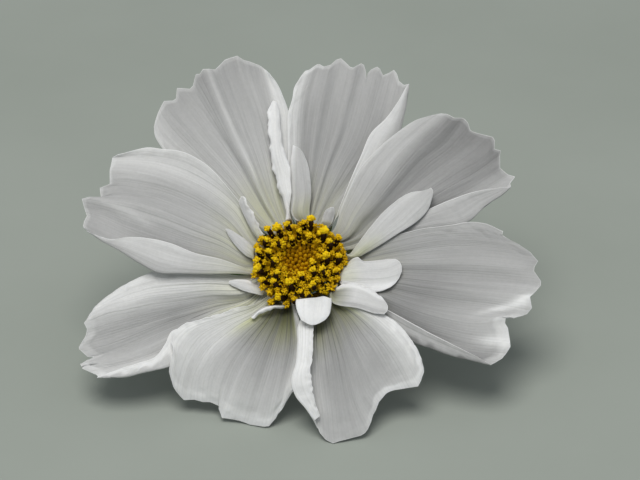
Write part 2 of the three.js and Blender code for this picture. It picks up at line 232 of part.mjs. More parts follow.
    rails: [
      [[-2.04,-6.37,22.84],[-3.19,-5.19,23.73],[-3.37,-2.54,26.13],[-3.56,0.16,28.51],[-3.42,2.2,30.3],[-3.05,4.24,32.1]],
      [[-1.24,-6.39,22.83],[-2.49,-5.65,23.83],[-2.41,-3.16,26.55],[-2.5,-0.47,28.93],[-2.51,1.65,30.66],[-2.52,3.73,32.11]],
      [[-0.45,-6.47,22.77],[-1.27,-6.0,24.07],[-1.11,-3.25,26.61],[-1.28,-0.93,28.61],[-1.64,1.19,30.33],[-1.91,3.52,31.84]],
      [[0.22,-6.6,22.68],[-0.15,-5.26,23.98],[0.11,-3.11,26.1],[0.02,-0.87,28.15],[-0.51,1.55,30.1],[-1.3,3.08,31.29]],
    ],
    tip: [
      [0.0,-3.05,4.24,32.1], [1.0,-2.52,3.73,32.11], [2.0,-1.91,3.52,31.84], [3.0,-1.3,3.08,31.29],
    ],
  },
  {
    name: "extra_petal_3",
    rails: [
      [[2.04,-6.69,22.62],[2.02,-6.74,23.32],[2.19,-6.0,24.07],[2.45,-5.48,24.56],[2.71,-5.19,24.88]],
      [[2.51,-6.92,22.45],[2.89,-6.91,23.44],[3.15,-6.27,24.25],[3.41,-5.69,24.91],[3.58,-5.08,25.33]],
      [[2.96,-7.18,22.27],[3.75,-6.89,23.21],[4.1,-6.15,23.97],[4.19,-5.57,24.62],[4.1,-4.98,25.16]],
    ],
    tip: [
      [0.0,2.71,-5.19,24.88], [1.0,3.58,-5.08,25.33], [2.0,4.1,-4.98,25.16],
    ],
  },
  {
    name: "extra_petal_4",
    rails: [
      [[5.52,-11.44,21.0],[6.66,-13.02,20.87],[7.69,-12.32,21.85],[9.07,-11.02,23.24],[10.54,-9.63,24.58],[12.18,-8.15,25.86],[13.91,-6.94,26.96],[15.65,-5.99,27.87],[17.2,-5.39,28.47],[18.76,-5.3,28.72]],
      [[5.63,-11.81,20.74],[6.91,-13.34,20.89],[8.28,-12.78,21.96],[10.09,-11.67,23.28],[11.81,-10.4,24.59],[13.71,-8.97,25.9],[15.62,-7.64,27.08],[17.53,-6.52,27.98],[19.61,-5.37,28.91]],
      [[5.72,-12.18,20.48],[7.08,-13.58,20.84],[8.88,-12.98,22.0],[10.94,-12.07,23.24],[12.83,-11.03,24.4],[14.9,-9.75,25.6],[16.98,-8.27,26.88],[18.9,-6.7,28.1],[20.82,-4.96,29.32]],
      [[5.78,-12.56,20.22],[7.25,-13.64,20.68],[9.57,-13.01,21.91],[11.97,-12.15,23.19],[13.86,-11.33,24.19],[15.76,-10.35,25.18],[17.83,-8.87,26.46],[19.58,-7.41,27.54],[21.16,-5.75,28.71]],
      [[5.81,-12.94,19.95],[7.43,-13.58,20.42],[10.26,-13.01,21.64],[12.66,-12.27,22.86],[14.8,-11.46,23.97],[16.79,-10.55,24.8],[18.52,-9.45,25.5],[19.75,-8.4,26.24],[20.53,-7.51,26.99],[20.89,-6.63,27.85]],
    ],
    tip: [
      [0.0,18.76,-5.3,28.72], [1.0,19.61,-5.37,28.91], [2.0,20.82,-4.96,29.32], [2.516,21.16,-5.32,29.04], [3.0,21.16,-5.75,28.71], [3.56,21.06,-6.25,28.22],
      [4.0,20.89,-6.63,27.85],
    ],
  },
  {
    name: "extra_petal_5",
    rails: [
      [[5.48,-13.62,19.35],[6.05,-14.74,19.67],[6.73,-14.5,20.44],[7.41,-14.44,21.1],[8.26,-14.65,21.44],[8.87,-14.88,20.91],[10.24,-14.77,20.74],[11.95,-14.62,20.85],[13.84,-14.54,21.02]],
      [[5.4,-14.11,19.0],[5.7,-15.51,19.37],[7.15,-15.58,20.06],[8.86,-15.6,20.28],[10.74,-15.61,20.4],[12.62,-15.55,20.56],[14.69,-14.71,21.03]],
      [[5.27,-14.6,18.66],[5.44,-16.18,18.9],[7.49,-16.54,19.38],[9.54,-16.71,19.5],[11.59,-16.73,19.62],[13.64,-16.59,19.83],[15.65,-15.69,20.34]],
      [[5.13,-15.0,18.38],[5.27,-16.83,18.32],[7.32,-17.47,18.36],[9.53,-17.95,18.39],[11.41,-18.12,18.52],[13.28,-17.99,18.73],[15.17,-17.51,19.07]],
      [[5.03,-15.24,18.22],[5.27,-17.33,17.73],[7.15,-18.02,17.49],[9.02,-18.85,17.4],[10.38,-19.28,17.46],[12.08,-19.25,17.61],[13.7,-18.8,18.17]],
    ],
    tip: [
      [0.0,13.84,-14.54,21.02], [1.0,14.69,-14.71,21.03], [1.503,15.32,-15.09,20.76], [2.0,15.65,-15.69,20.34], [2.428,15.66,-16.5,19.77], [3.0,15.17,-17.51,19.07],
      [3.478,14.56,-18.21,18.58], [4.0,13.7,-18.8,18.17],
    ],
  },
  {
    name: "extra_petal_6",
    rails: [
      [[4.67,-16.76,17.64],[4.75,-18.4,17.83],[5.68,-18.47,18.52],[6.79,-18.52,18.85],[8.15,-18.86,18.73],[9.51,-19.46,18.44],[10.87,-20.09,18.12],[12.21,-21.2,17.71]],
      [[4.23,-17.26,17.29],[4.57,-19.29,17.58],[5.93,-19.75,18.23],[7.63,-20.08,18.36],[9.49,-20.77,18.13],[11.35,-21.82,17.64],[12.87,-22.36,17.5]],
      [[3.73,-17.72,16.97],[4.31,-20.35,17.08],[5.92,-21.18,17.48],[7.79,-21.74,17.57],[9.82,-22.43,17.45],[11.5,-23.2,17.28],[13.19,-23.59,17.25]],
      [[3.26,-18.09,16.71],[4.02,-21.23,16.46],[5.41,-22.24,16.67],[7.1,-22.81,16.89],[9.13,-23.63,16.86],[10.81,-24.41,16.74],[12.49,-24.68,16.73]],
    ],
    tip: [
      [0.0,12.21,-21.2,17.71], [1.0,12.87,-22.36,17.5], [1.573,13.13,-23.04,17.38], [2.0,13.19,-23.59,17.25], [2.47,13.01,-24.18,16.95], [3.0,12.49,-24.68,16.73],
    ],
  },
  {
    name: "extra_petal_7",
    rails: [
      [[-0.3,-17.41,15.48],[2.18,-21.88,16.62],[3.59,-21.79,17.9],[3.64,-22.35,17.81],[3.54,-23.59,17.25],[3.2,-24.7,16.6],[2.52,-25.42,16.09]],
      [[-0.81,-17.5,15.42],[1.5,-22.07,16.97],[2.52,-21.88,18.33],[2.52,-22.34,18.31],[2.52,-23.4,17.75],[2.18,-24.91,16.76],[1.67,-25.99,15.88]],
      [[-1.32,-17.55,15.38],[0.31,-22.07,16.97],[0.83,-22.08,18.19],[0.83,-22.55,18.17],[0.66,-23.55,17.65],[0.49,-25.05,16.66],[0.49,-26.24,15.64]],
      [[-1.66,-17.56,15.37],[-0.53,-22.07,16.97],[-0.7,-22.17,18.12],[-0.7,-22.58,18.08],[-0.7,-23.51,17.61],[-0.69,-24.86,16.73],[-0.52,-25.98,15.76]],
      [[-2.0,-17.56,15.37],[-1.39,-22.02,16.52],[-2.35,-21.93,17.8],[-2.43,-22.44,17.75],[-2.39,-23.33,17.38],[-2.05,-24.48,16.75],[-1.54,-25.38,16.06]],
    ],
    tip: [
      [0.0,2.52,-25.42,16.09], [1.0,1.67,-25.99,15.88], [1.59,1.0,-26.21,15.69], [2.0,0.49,-26.24,15.64], [2.479,-0.02,-26.19,15.65], [3.0,-0.52,-25.98,15.76],
      [4.0,-1.54,-25.38,16.06],
    ],
  },
  {
    name: "extra_petal_8",
    rails: [
      [[-4.36,-18.99,15.11],[-4.64,-20.65,15.04],[-5.83,-20.88,15.12],[-7.2,-21.27,14.97],[-8.55,-21.86,14.56],[-9.57,-22.46,14.13]],
      [[-4.75,-18.87,15.19],[-4.47,-20.78,15.43],[-5.83,-20.95,15.56],[-7.36,-21.29,15.45],[-8.72,-21.83,15.06],[-9.91,-22.57,14.3]],
      [[-5.13,-18.73,15.28],[-4.81,-20.38,15.47],[-6.01,-20.52,15.62],[-7.54,-20.82,15.53],[-8.9,-21.3,15.07],[-10.08,-22.16,14.35]],
    ],
    tip: [
      [0.0,-9.57,-22.46,14.13], [1.0,-9.91,-22.57,14.3], [2.0,-10.08,-22.16,14.35],
    ],
  },
  {
    name: "extra_petal_9",
    rails: [
      [[-7.69,-16.4,15.81],[-8.11,-17.42,15.47],[-9.39,-17.53,15.76],[-10.85,-17.4,16.09],[-12.4,-16.88,16.45],[-13.43,-16.44,16.77]],
      [[-8.32,-15.69,16.31],[-8.63,-16.85,16.11],[-9.99,-16.79,16.64],[-11.54,-16.49,16.97],[-13.09,-16.21,17.17],[-14.04,-16.08,17.14]],
      [[-8.82,-14.92,16.86],[-9.07,-15.7,16.55],[-10.19,-15.56,17.02],[-11.39,-15.4,17.25],[-12.59,-15.42,17.3],[-13.53,-15.58,17.25]],
    ],
    tip: [
      [0.0,-13.43,-16.44,16.77], [0.618,-13.86,-16.27,16.96], [1.0,-14.04,-16.08,17.14], [1.46,-13.87,-15.78,17.24], [2.0,-13.53,-15.58,17.25],
    ],
  },
  {
    name: "extra_petal_10",
    rails: [
      [[-9.65,-13.4,18.71],[-9.86,-12.9,19.73],[-10.89,-12.73,20.28],[-12.1,-11.99,20.98],[-13.32,-10.88,21.88],[-14.11,-9.87,22.65]],
      [[-9.69,-12.5,19.34],[-9.86,-12.34,20.49],[-11.07,-11.63,21.36],[-12.28,-10.71,22.18],[-13.67,-9.7,22.95],[-14.64,-8.93,23.36]],
      [[-9.57,-11.6,19.97],[-9.71,-11.18,20.94],[-10.57,-10.62,21.7],[-11.61,-10.04,22.35],[-12.82,-9.45,22.88],[-13.68,-9.08,23.26]],
    ],
    tip: [
      [0.0,-14.11,-9.87,22.65], [0.624,-14.46,-9.29,23.09], [1.0,-14.64,-8.93,23.36], [1.442,-14.2,-8.93,23.36], [2.0,-13.68,-9.08,23.26],
    ],
  },
  {
    name: "extra_petal_11",
    rails: [
      [[-8.89,-9.89,21.17],[-9.12,-9.7,21.79],[-9.99,-8.8,22.85],[-10.86,-7.75,24.01],[-11.73,-6.5,25.25],[-12.34,-5.52,26.36]],
      [[-8.57,-9.4,21.51],[-8.77,-9.69,22.1],[-9.55,-8.85,23.3],[-10.42,-7.68,24.49],[-11.38,-6.19,25.77],[-12.2,-5.1,27.02]],
      [[-8.2,-8.94,21.84],[-8.42,-9.55,22.32],[-9.2,-8.71,23.52],[-10.07,-7.58,24.74],[-11.03,-6.09,26.02],[-11.94,-4.74,27.34]],
      [[-7.84,-8.56,22.1],[-8.0,-9.24,22.42],[-8.6,-8.54,23.51],[-9.38,-7.54,24.71],[-10.34,-6.2,25.89],[-11.48,-4.65,27.22]],
    ],
    tip: [
      [0.0,-12.34,-5.52,26.36], [0.546,-12.3,-5.29,26.73], [1.0,-12.2,-5.1,27.02], [2.0,-11.94,-4.74,27.34], [3.0,-11.48,-4.65,27.22],
    ],
  },
];

// ---------------------------------------------------------------- frame of the flower head
const tilt = THREE.MathUtils.degToRad(HEAD_TILT_DEG);
const AXIS = new THREE.Vector3(0, -Math.sin(tilt), Math.cos(tilt));  // out of the flower's face
const UP = new THREE.Vector3(0, Math.cos(tilt), Math.sin(tilt));     // across the face, uphill
const SIDE = new THREE.Vector3(1, 0, 0);
const CENTRE = new THREE.Vector3(...HEAD_CENTRE);
const head = (r, a, h) =>
  CENTRE.clone()
    .addScaledVector(SIDE, r * Math.cos(a))
    .addScaledVector(UP, r * Math.sin(a))
    .addScaledVector(AXIS, h);

// ---------------------------------------------------------------- curves
function smoothAt(t, knots, points) {
  const n = knots.length;
  let j = 0;
  while (j < n - 2 && t >= knots[j + 1]) j++;
  const slope = (i) => {
    if (i === 0) return points[1].clone().sub(points[0]).divideScalar(knots[1] - knots[0]);
    if (i === n - 1) return points[i].clone().sub(points[i - 1]).divideScalar(knots[i] - knots[i - 1]);
    const a = knots[i] - knots[i - 1];
    const b = knots[i + 1] - knots[i];
    const d0 = points[i].clone().sub(points[i - 1]).divideScalar(a);
    const d1 = points[i + 1].clone().sub(points[i]).divideScalar(b);
    return d0.multiplyScalar(b).add(d1.multiplyScalar(a)).divideScalar(a + b);
  };
  const h = knots[j + 1] - knots[j];
  const s = (t - knots[j]) / h;
  const s2 = s * s;
  const s3 = s2 * s;
  return points[j].clone().multiplyScalar(2 * s3 - 3 * s2 + 1)
    .addScaledVector(slope(j), (s3 - 2 * s2 + s) * h)
    .addScaledVector(points[j + 1], -2 * s3 + 3 * s2)
    .addScaledVector(slope(j + 1), (s3 - s2) * h);
}

function chordKnots(points) {
  const k = [0];
  for (let i = 1; i < points.length; i++) k.push(k[i - 1] + points[i].distanceTo(points[i - 1]));
  return k.map((x) => x / k[k.length - 1]);
}

function interpolate(x, xs, ys) {
  if (x <= xs[0]) return ys[0];
  for (let i = 1; i < xs.length; i++) {
    if (x <= xs[i]) return ys[i - 1] + ((ys[i] - ys[i - 1]) * (x - xs[i - 1])) / (xs[i] - xs[i - 1]);
  }
  return ys[ys.length - 1];
}

// ---------------------------------------------------------------- a thin blade from a grid of points on its middle surface
function closedSheet(grid, thickness) {
  const rows = grid.length;
  const cols = grid[0].length;
  const normal = (i, j) => {
    const along = grid[Math.min(i + 1, rows - 1)][j].clone().sub(grid[Math.max(i - 1, 0)][j]);
    const across = grid[i][Math.min(j + 1, cols - 1)].clone().sub(grid[i][Math.max(j - 1, 0)]);
    return across.cross(along).normalize();
  };
  const position = [];
  for (const side of [1, -1]) {
    for (let i = 0; i < rows; i++) {
      for (let j = 0; j < cols; j++) {
        const p = grid[i][j].clone().addScaledVector(normal(i, j), (side * thickness) / 2);
        position.push(p.x, p.y, p.z);
      }
    }
  }
  const index = [];
  const at = (i, j, side) => side * rows * cols + i * cols + j;
  for (let i = 0; i < rows - 1; i++) {
    for (let j = 0; j < cols - 1; j++) {
      index.push(at(i, j, 0), at(i, j + 1, 0), at(i + 1, j + 1, 0), at(i, j, 0), at(i + 1, j + 1, 0), at(i + 1, j, 0));
      index.push(at(i, j, 1), at(i + 1, j + 1, 1), at(i, j + 1, 1), at(i, j, 1), at(i + 1, j, 1), at(i + 1, j + 1, 1));
    }
  }
  const rim = [];
  for (let j = 0; j < cols - 1; j++) rim.push([0, j]);
  for (let i = 0; i < rows - 1; i++) rim.push([i, cols - 1]);
  for (let j = cols - 1; j > 0; j--) rim.push([rows - 1, j]);
  for (let i = rows - 1; i > 0; i--) rim.push([i, 0]);
  rim.forEach(([i, j], k) => {
    const [p, q] = rim[(k + 1) % rim.length];
    index.push(at(i, j, 0), at(i, j, 1), at(p, q, 1), at(i, j, 0), at(p, q, 1), at(p, q, 0));
  });
  const g = new THREE.BufferGeometry();
  g.setAttribute("position", new THREE.Float32BufferAttribute(position, 3));
  g.setIndex(index);
  return g;
}

function bladeGrid({ rails, tip }, rows, across) {
  const ribs = rails.map((r) => r.map((p) => new THREE.Vector3(...p)));
  const knots = ribs.map(chordKnots);
  const rib = (k, u) => smoothAt(u, knots[k], ribs[k]);
  const n = ribs.length;
  const place = [0];
  for (let k = 0; k < n - 1; k++) {
    let d = 0;
    for (let i = 0; i < 12; i++) {
      const u = 0.25 + (0.75 * i) / 11;
      d += rib(k, u).distanceTo(rib(k + 1, u)) / 12;
    }
    place.push(place[k] + Math.max(d, 0.3));
  }
  const numbers = [...Array(n).keys()];
  const edge = (v) => new THREE.Vector3(...[1, 2, 3].map((c) => interpolate(v, tip.map((q) => q[0]), tip.map((q) => q[c]))));
  const ends = ribs.map((r) => r[r.length - 1]);
  const grid = [];
  for (let i = 0; i < rows; i++) {
    const u = i / (rows - 1);
    const row = ribs.map((_, k) => rib(k, u));
    const w = Math.max(0, (u - 0.72) / 0.28) ** 2;
    grid.push(across.map((v) => {
      const t = interpolate(v, numbers, place);
      const p = smoothAt(t, place, row);
      if (w > 0) p.addScaledVector(edge(v).sub(smoothAt(t, place, ends)), w);
      return p;
    }));
  }
  return grid;
}

// ---------------------------------------------------------------- sweep of rings into one closed solid
function closedSweep(rings) {
  const n = rings[0].length;
  const position = rings.flat().flatMap((p) => [p.x, p.y, p.z]);
  const mid = (ring) => ring.reduce((a, p) => a.add(p), new THREE.Vector3()).divideScalar(ring.length);
  const first = mid(rings[0]);
  const last = mid(rings[rings.length - 1]);
  position.push(first.x, first.y, first.z, last.x, last.y, last.z);
  const a = rings.length * n;
  const index = [];
  for (let k = 0; k < n; k++) {
    const m = (k + 1) % n;
    index.push(a, k, m);
    const e = (rings.length - 1) * n;
    index.push(a + 1, e + m, e + k);
    for (let i = 0; i < rings.length - 1; i++) {
      index.push(i * n + k, (i + 1) * n + k, (i + 1) * n + m, i * n + k, (i + 1) * n + m, i * n + m);
    }
  }
  const g = new THREE.BufferGeometry();
  g.setAttribute("position", new THREE.Float32BufferAttribute(position, 3));
  g.setIndex(index);
  return outward(g);
}

function outward(g) {
  const p = g.attributes.position;
  const idx = g.index.array;
  let volume = 0;
  const [a, b, c] = [new THREE.Vector3(), new THREE.Vector3(), new THREE.Vector3()];
  for (let i = 0; i < idx.length; i += 3) {
    a.fromBufferAttribute(p, idx[i]);
    b.fromBufferAttribute(p, idx[i + 1]);
    c.fromBufferAttribute(p, idx[i + 2]);
    volume += a.dot(b.cross(c));
  }
  if (volume < 0) for (let i = 0; i < idx.length; i += 3) [idx[i + 1], idx[i + 2]] = [idx[i + 2], idx[i + 1]];
  return g;
}

const wasm = await Module();
wasm.setup();
const solid = (g) => {
  const m = g.clone();
  m.deleteAttribute("normal");
  m.deleteAttribute("uv");
  const s = mergeVertices(m, 1e-5);
  return new wasm.Manifold(new wasm.Mesh({
    numProp: 3,
    vertProperties: new Float32Array(s.attributes.position.array),
    triVerts: new Uint32Array(s.index.array),
  }));
};
const geometry = (m) => {
  const mesh = m.getMesh();
  const g = new THREE.BufferGeometry();
  g.setAttribute("position", new THREE.Float32BufferAttribute(Array.from(mesh.vertProperties), 3));
  g.setIndex(Array.from(mesh.triVerts));
  return g;
};

// ---------------------------------------------------------------- materials
const material = (color, roughness) => new THREE.MeshStandardMaterial({ color, roughness, metalness: 0 });
const PETAL = material(0xe9e9e6, 0.6);
const EXTRA = material(0xf2f2ef, 0.6);
const STEM = material(0x5f7f3a, 0.65);
const BRACT = material(0x55752f, 0.65);
const INNER = material(0x93a06a, 0.6);
const YELLOW = material(0xd8a80f, 0.7);
const OCHRE = material(0x9a6e14, 0.75);

const flower = new THREE.Group();
const add = (name, g, m) => {
  const mesh = new THREE.Mesh(g, m);
  mesh.name = name;
  flower.add(mesh);
};

// ---------------------------------------------------------------- stem and receptacle, grown as one piece
{
  const sides = 16;
  const profile = [  // [height along the axis, radius], from the top of the dome to the neck
    [RECEPTACLE_DOME, 0.6], [RECEPTACLE_DOME - 0.15, 2.2], [RECEPTACLE_DOME - 0.5, 3.9], [0.05, RECEPTACLE_RADIUS - 0.15],
    [-0.4, RECEPTACLE_RADIUS], [-1.0, RECEPTACLE_RADIUS - 0.6], [-1.9, 3.0], [-2.9, 1.9], [-3.9, 1.25], [-4.8, STEM_RADIUS + 0.05],
  ];
  const rings = profile.map(([h, r]) => Array.from({ length: sides }, (_, k) => head(r, (2 * Math.PI * k) / sides, h)));
  // the stalk leaves the receptacle along the axis, bends over and lies on the surface
  const neck = head(0, 0, -4.8);
  const down = AXIS.clone().negate();
  const landing = new THREE.Vector3(CENTRE.x + STEM_REACH[0] * 0.35, CENTRE.y + 24, STEM_RADIUS + 0.08);
  const end = new THREE.Vector3(CENTRE.x + STEM_REACH[0], CENTRE.y + STEM_REACH[1], STEM_RADIUS);
  const curve = new THREE.CurvePath();
  curve.add(new THREE.CubicBezierCurve3(
    neck,
    neck.clone().addScaledVector(down, 7.5),
    landing.clone().add(new THREE.Vector3(-1.0, -9.0, 0.05)),
    landing,
  ));
  curve.add(new THREE.CubicBezierCurve3(
    landing,
    landing.clone().add(new THREE.Vector3(1.0, 9.0, -0.05)),
    end.clone().add(new THREE.Vector3(-2.6, -8.0, 0)),
    end,
  ));
  const steps = 22;
  for (let i = 1; i <= steps; i++) {
    const u = i / steps;
    const p = curve.getPointAt(u);
    const t = curve.getTangentAt(u);
    const side = SIDE.clone().addScaledVector(t, -t.dot(SIDE)).normalize();
    const up = side.clone().cross(t).normalize();
    if (up.dot(UP) < 0) up.negate();
    const r = STEM_RADIUS;
    rings.push(Array.from({ length: sides }, (_, k) => {
      const a = (2 * Math.PI * k) / sides;
      return p.clone().addScaledVector(side, r * Math.cos(a)).addScaledVector(up, r * Math.sin(a));
    }));
  }
  add("stem", closedSweep(rings), STEM);
}

// ---------------------------------------------------------------- bracts
function bract(angle, length, width, path, rows, cols, fold) {
  const grid = [];
  for (let i = 0; i < rows; i++) {
    const u = i / (rows - 1);
    const [r, h] = path(u);
    const half = width(u) / 2;
    grid.push(Array.from({ length: cols }, (_, j) => {
      const s = (2 * j) / (cols - 1) - 1;
      const x = r;
      const y = -s * half;
      return head(Math.hypot(x, y), angle + Math.atan2(y, x), h - fold * s * s * half);
    }));
  }
  return grid;
}
for (let k = 0; k < INNER_BRACTS; k++) {
  const angle = THREE.MathUtils.degToRad(22 + (360 * k) / INNER_BRACTS);
  const grid = bract(angle, INNER_BRACT_LENGTH,
    (u) => 2.4 + (INNER_BRACT_WIDTH - 2.4) * Math.sin(Math.PI * Math.min(1, u * 1.05)) * (1 - 0.25 * u) - 1.9 * u ** 4,
    (u) => [5.1 + INNER_BRACT_LENGTH * u, -1.45 + 0.5 * u - 0.25 * u * u], 6, 4, 0.03);
  add(`inner_bract_${k + 1}`, closedSheet(grid, BRACT_THICKNESS), INNER);
}
for (let k = 0; k < OUTER_BRACTS; k++) {
  const angle = THREE.MathUtils.degToRad(0 + (360 * k) / OUTER_BRACTS);
  const grid = bract(angle, OUTER_BRACT_LENGTH,
    (u) => 1.3 + (OUTER_BRACT_WIDTH - 1.3) * Math.sin(Math.PI * u * 0.9) - 0.85 * u ** 2,
    (u) => [3.5 + OUTER_BRACT_LENGTH * u, -2.55 + 0.5 * u - 1.6 * u * u], 6, 3, 0.12);
  add(`outer_bract_${k + 1}`, closedSheet(grid, BRACT_THICKNESS), BRACT);
}

// ---------------------------------------------------------------- petals
for (const blade of BLADES) {
  const ray = blade.name.startsWith("ray");
  const n = blade.rails.length;
  const across = [];
  for (let k = 0; k < n; k++) {
    across.push(k);
    if (k < n - 1) across.push(k + 0.5);
  }
  const grid = bladeGrid(blade, ray ? 8 : 6, across);
  add(blade.name, outward(closedSheet(grid, ray ? PETAL_THICKNESS : EXTRA_PETAL_THICKNESS)), ray ? PETAL : EXTRA);
}

// ---------------------------------------------------------------- disc florets
const SIDES = 5;
function floret(ring, angle, footHeight) {
  const foot = head(ring.foot, angle, footHeight);
  const top = head(ring.top, angle, ring.height);
  const t = top.clone().sub(foot).normalize();
  const a = new THREE.Vector3().crossVectors(t, UP).normalize();
  const b = new THREE.Vector3().crossVectors(t, a).normalize();
  const at = (u, r) => Array.from({ length: SIDES }, (_, k) => {
    const q = (2 * Math.PI * k) / SIDES;
    return foot.clone().lerp(top, u).addScaledVector(a, r * Math.cos(q)).addScaledVector(b, r * Math.sin(q));
  });
  return closedSweep([at(0, FLORET_FOOT_RADIUS), at(0.76, ring.head), at(1, ring.head * 0.8)]);
}
const domeHeight = (r) => 0.05 + (RECEPTACLE_DOME - 0.05) * (1 - (r / RECEPTACLE_RADIUS) ** 2);
function band(inner, outer, low, high) {
  const sides = 24;
  const profile = inner > 0
    ? [[inner, low], [outer, low], [outer, high], [inner, high]]
    : null;
  const ring = (r, h) => Array.from({ length: sides }, (_, k) => head(r, (2 * Math.PI * k) / sides, h));
  if (!profile) return closedSweep([ring(outer, high), ring(outer, low)]);
  const loops = profile.map(([r, h]) => ring(r, h));
  const position = loops.flat().flatMap((p) => [p.x, p.y, p.z]);
  const index = [];
  for (let i = 0; i < 4; i++) {
    for (let k = 0; k < sides; k++) {
      const [a, b] = [i * sides + k, i * sides + ((k + 1) % sides)];
      const [c, d] = [((i + 1) % 4) * sides + k, ((i + 1) % 4) * sides + ((k + 1) % sides)];
      index.push(a, c, d, a, d, b);
    }
  }
  const g = new THREE.BufferGeometry();
  g.setAttribute("position", new THREE.Float32BufferAttribute(position, 3));
  g.setIndex(index);
  return outward(g);
}
for (const ring of FLORET_RINGS) {
  const base = domeHeight(ring.foot - 0.3) + 0.35;
  let body = solid(band(ring.foot - 0.3, ring.foot + 0.3, base, base + 0.5));
  for (let k = 0; k < ring.count; k++) {
    const degrees = ring.turn + (360 * k) / ring.count;
    const off = ((((degrees - FLORET_GAP_DEG[0]) % 360) + 540) % 360) - 180;
    if (ring === FLORET_RINGS[0] && Math.abs(off) < FLORET_GAP_DEG[1]) continue;
    body = body.add(solid(floret(ring, THREE.MathUtils.degToRad(degrees), base + 0.2)));
  }
  add(ring.name, geometry(body), YELLOW);
}
{
  const base = RECEPTACLE_DOME + 0.35;
  let body = solid(band(0, BUD_RINGS[0].foot + 0.3, base, base + 0.5));
  for (const ring of BUD_RINGS) {
    for (let k = 0; k < ring.count; k++) {
      body = body.add(solid(floret(ring, THREE.MathUtils.degToRad(ring.turn + (360 * k) / ring.count), base + 0.2)));
    }
  }
  add("disc_florets_centre_buds", geometry(body), OCHRE);
}

export default flower;
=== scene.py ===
import math

import bpy
import numpy as np
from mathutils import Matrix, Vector


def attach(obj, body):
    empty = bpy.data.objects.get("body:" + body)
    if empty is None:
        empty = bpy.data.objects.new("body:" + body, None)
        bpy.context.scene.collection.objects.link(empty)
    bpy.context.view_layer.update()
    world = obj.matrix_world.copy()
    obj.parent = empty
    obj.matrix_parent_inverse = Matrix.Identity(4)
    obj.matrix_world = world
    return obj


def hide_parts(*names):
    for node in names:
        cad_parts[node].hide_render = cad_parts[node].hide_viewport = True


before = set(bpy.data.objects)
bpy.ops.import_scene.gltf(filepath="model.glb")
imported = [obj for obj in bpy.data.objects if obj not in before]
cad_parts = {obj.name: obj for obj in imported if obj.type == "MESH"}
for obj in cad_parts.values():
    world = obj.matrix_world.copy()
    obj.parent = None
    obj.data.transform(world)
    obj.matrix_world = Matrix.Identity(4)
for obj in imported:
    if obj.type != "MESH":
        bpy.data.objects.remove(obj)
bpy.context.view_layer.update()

# ------------------------------------------------------------------------------------------------
# Cosmos flower, as picked. All tables are in millimetres in the row's frame; meshes are in metres.
# ------------------------------------------------------------------------------------------------
MM = 0.001

CENTRE = np.array([-1.790, -11.375, 17.260])
TILT = math.radians(35.0)
AXIS = np.array([0.0, -math.sin(TILT), math.cos(TILT)])
UP = np.array([0.0, math.cos(TILT), math.sin(TILT)])
SIDE = np.array([1.0, 0.0, 0.0])

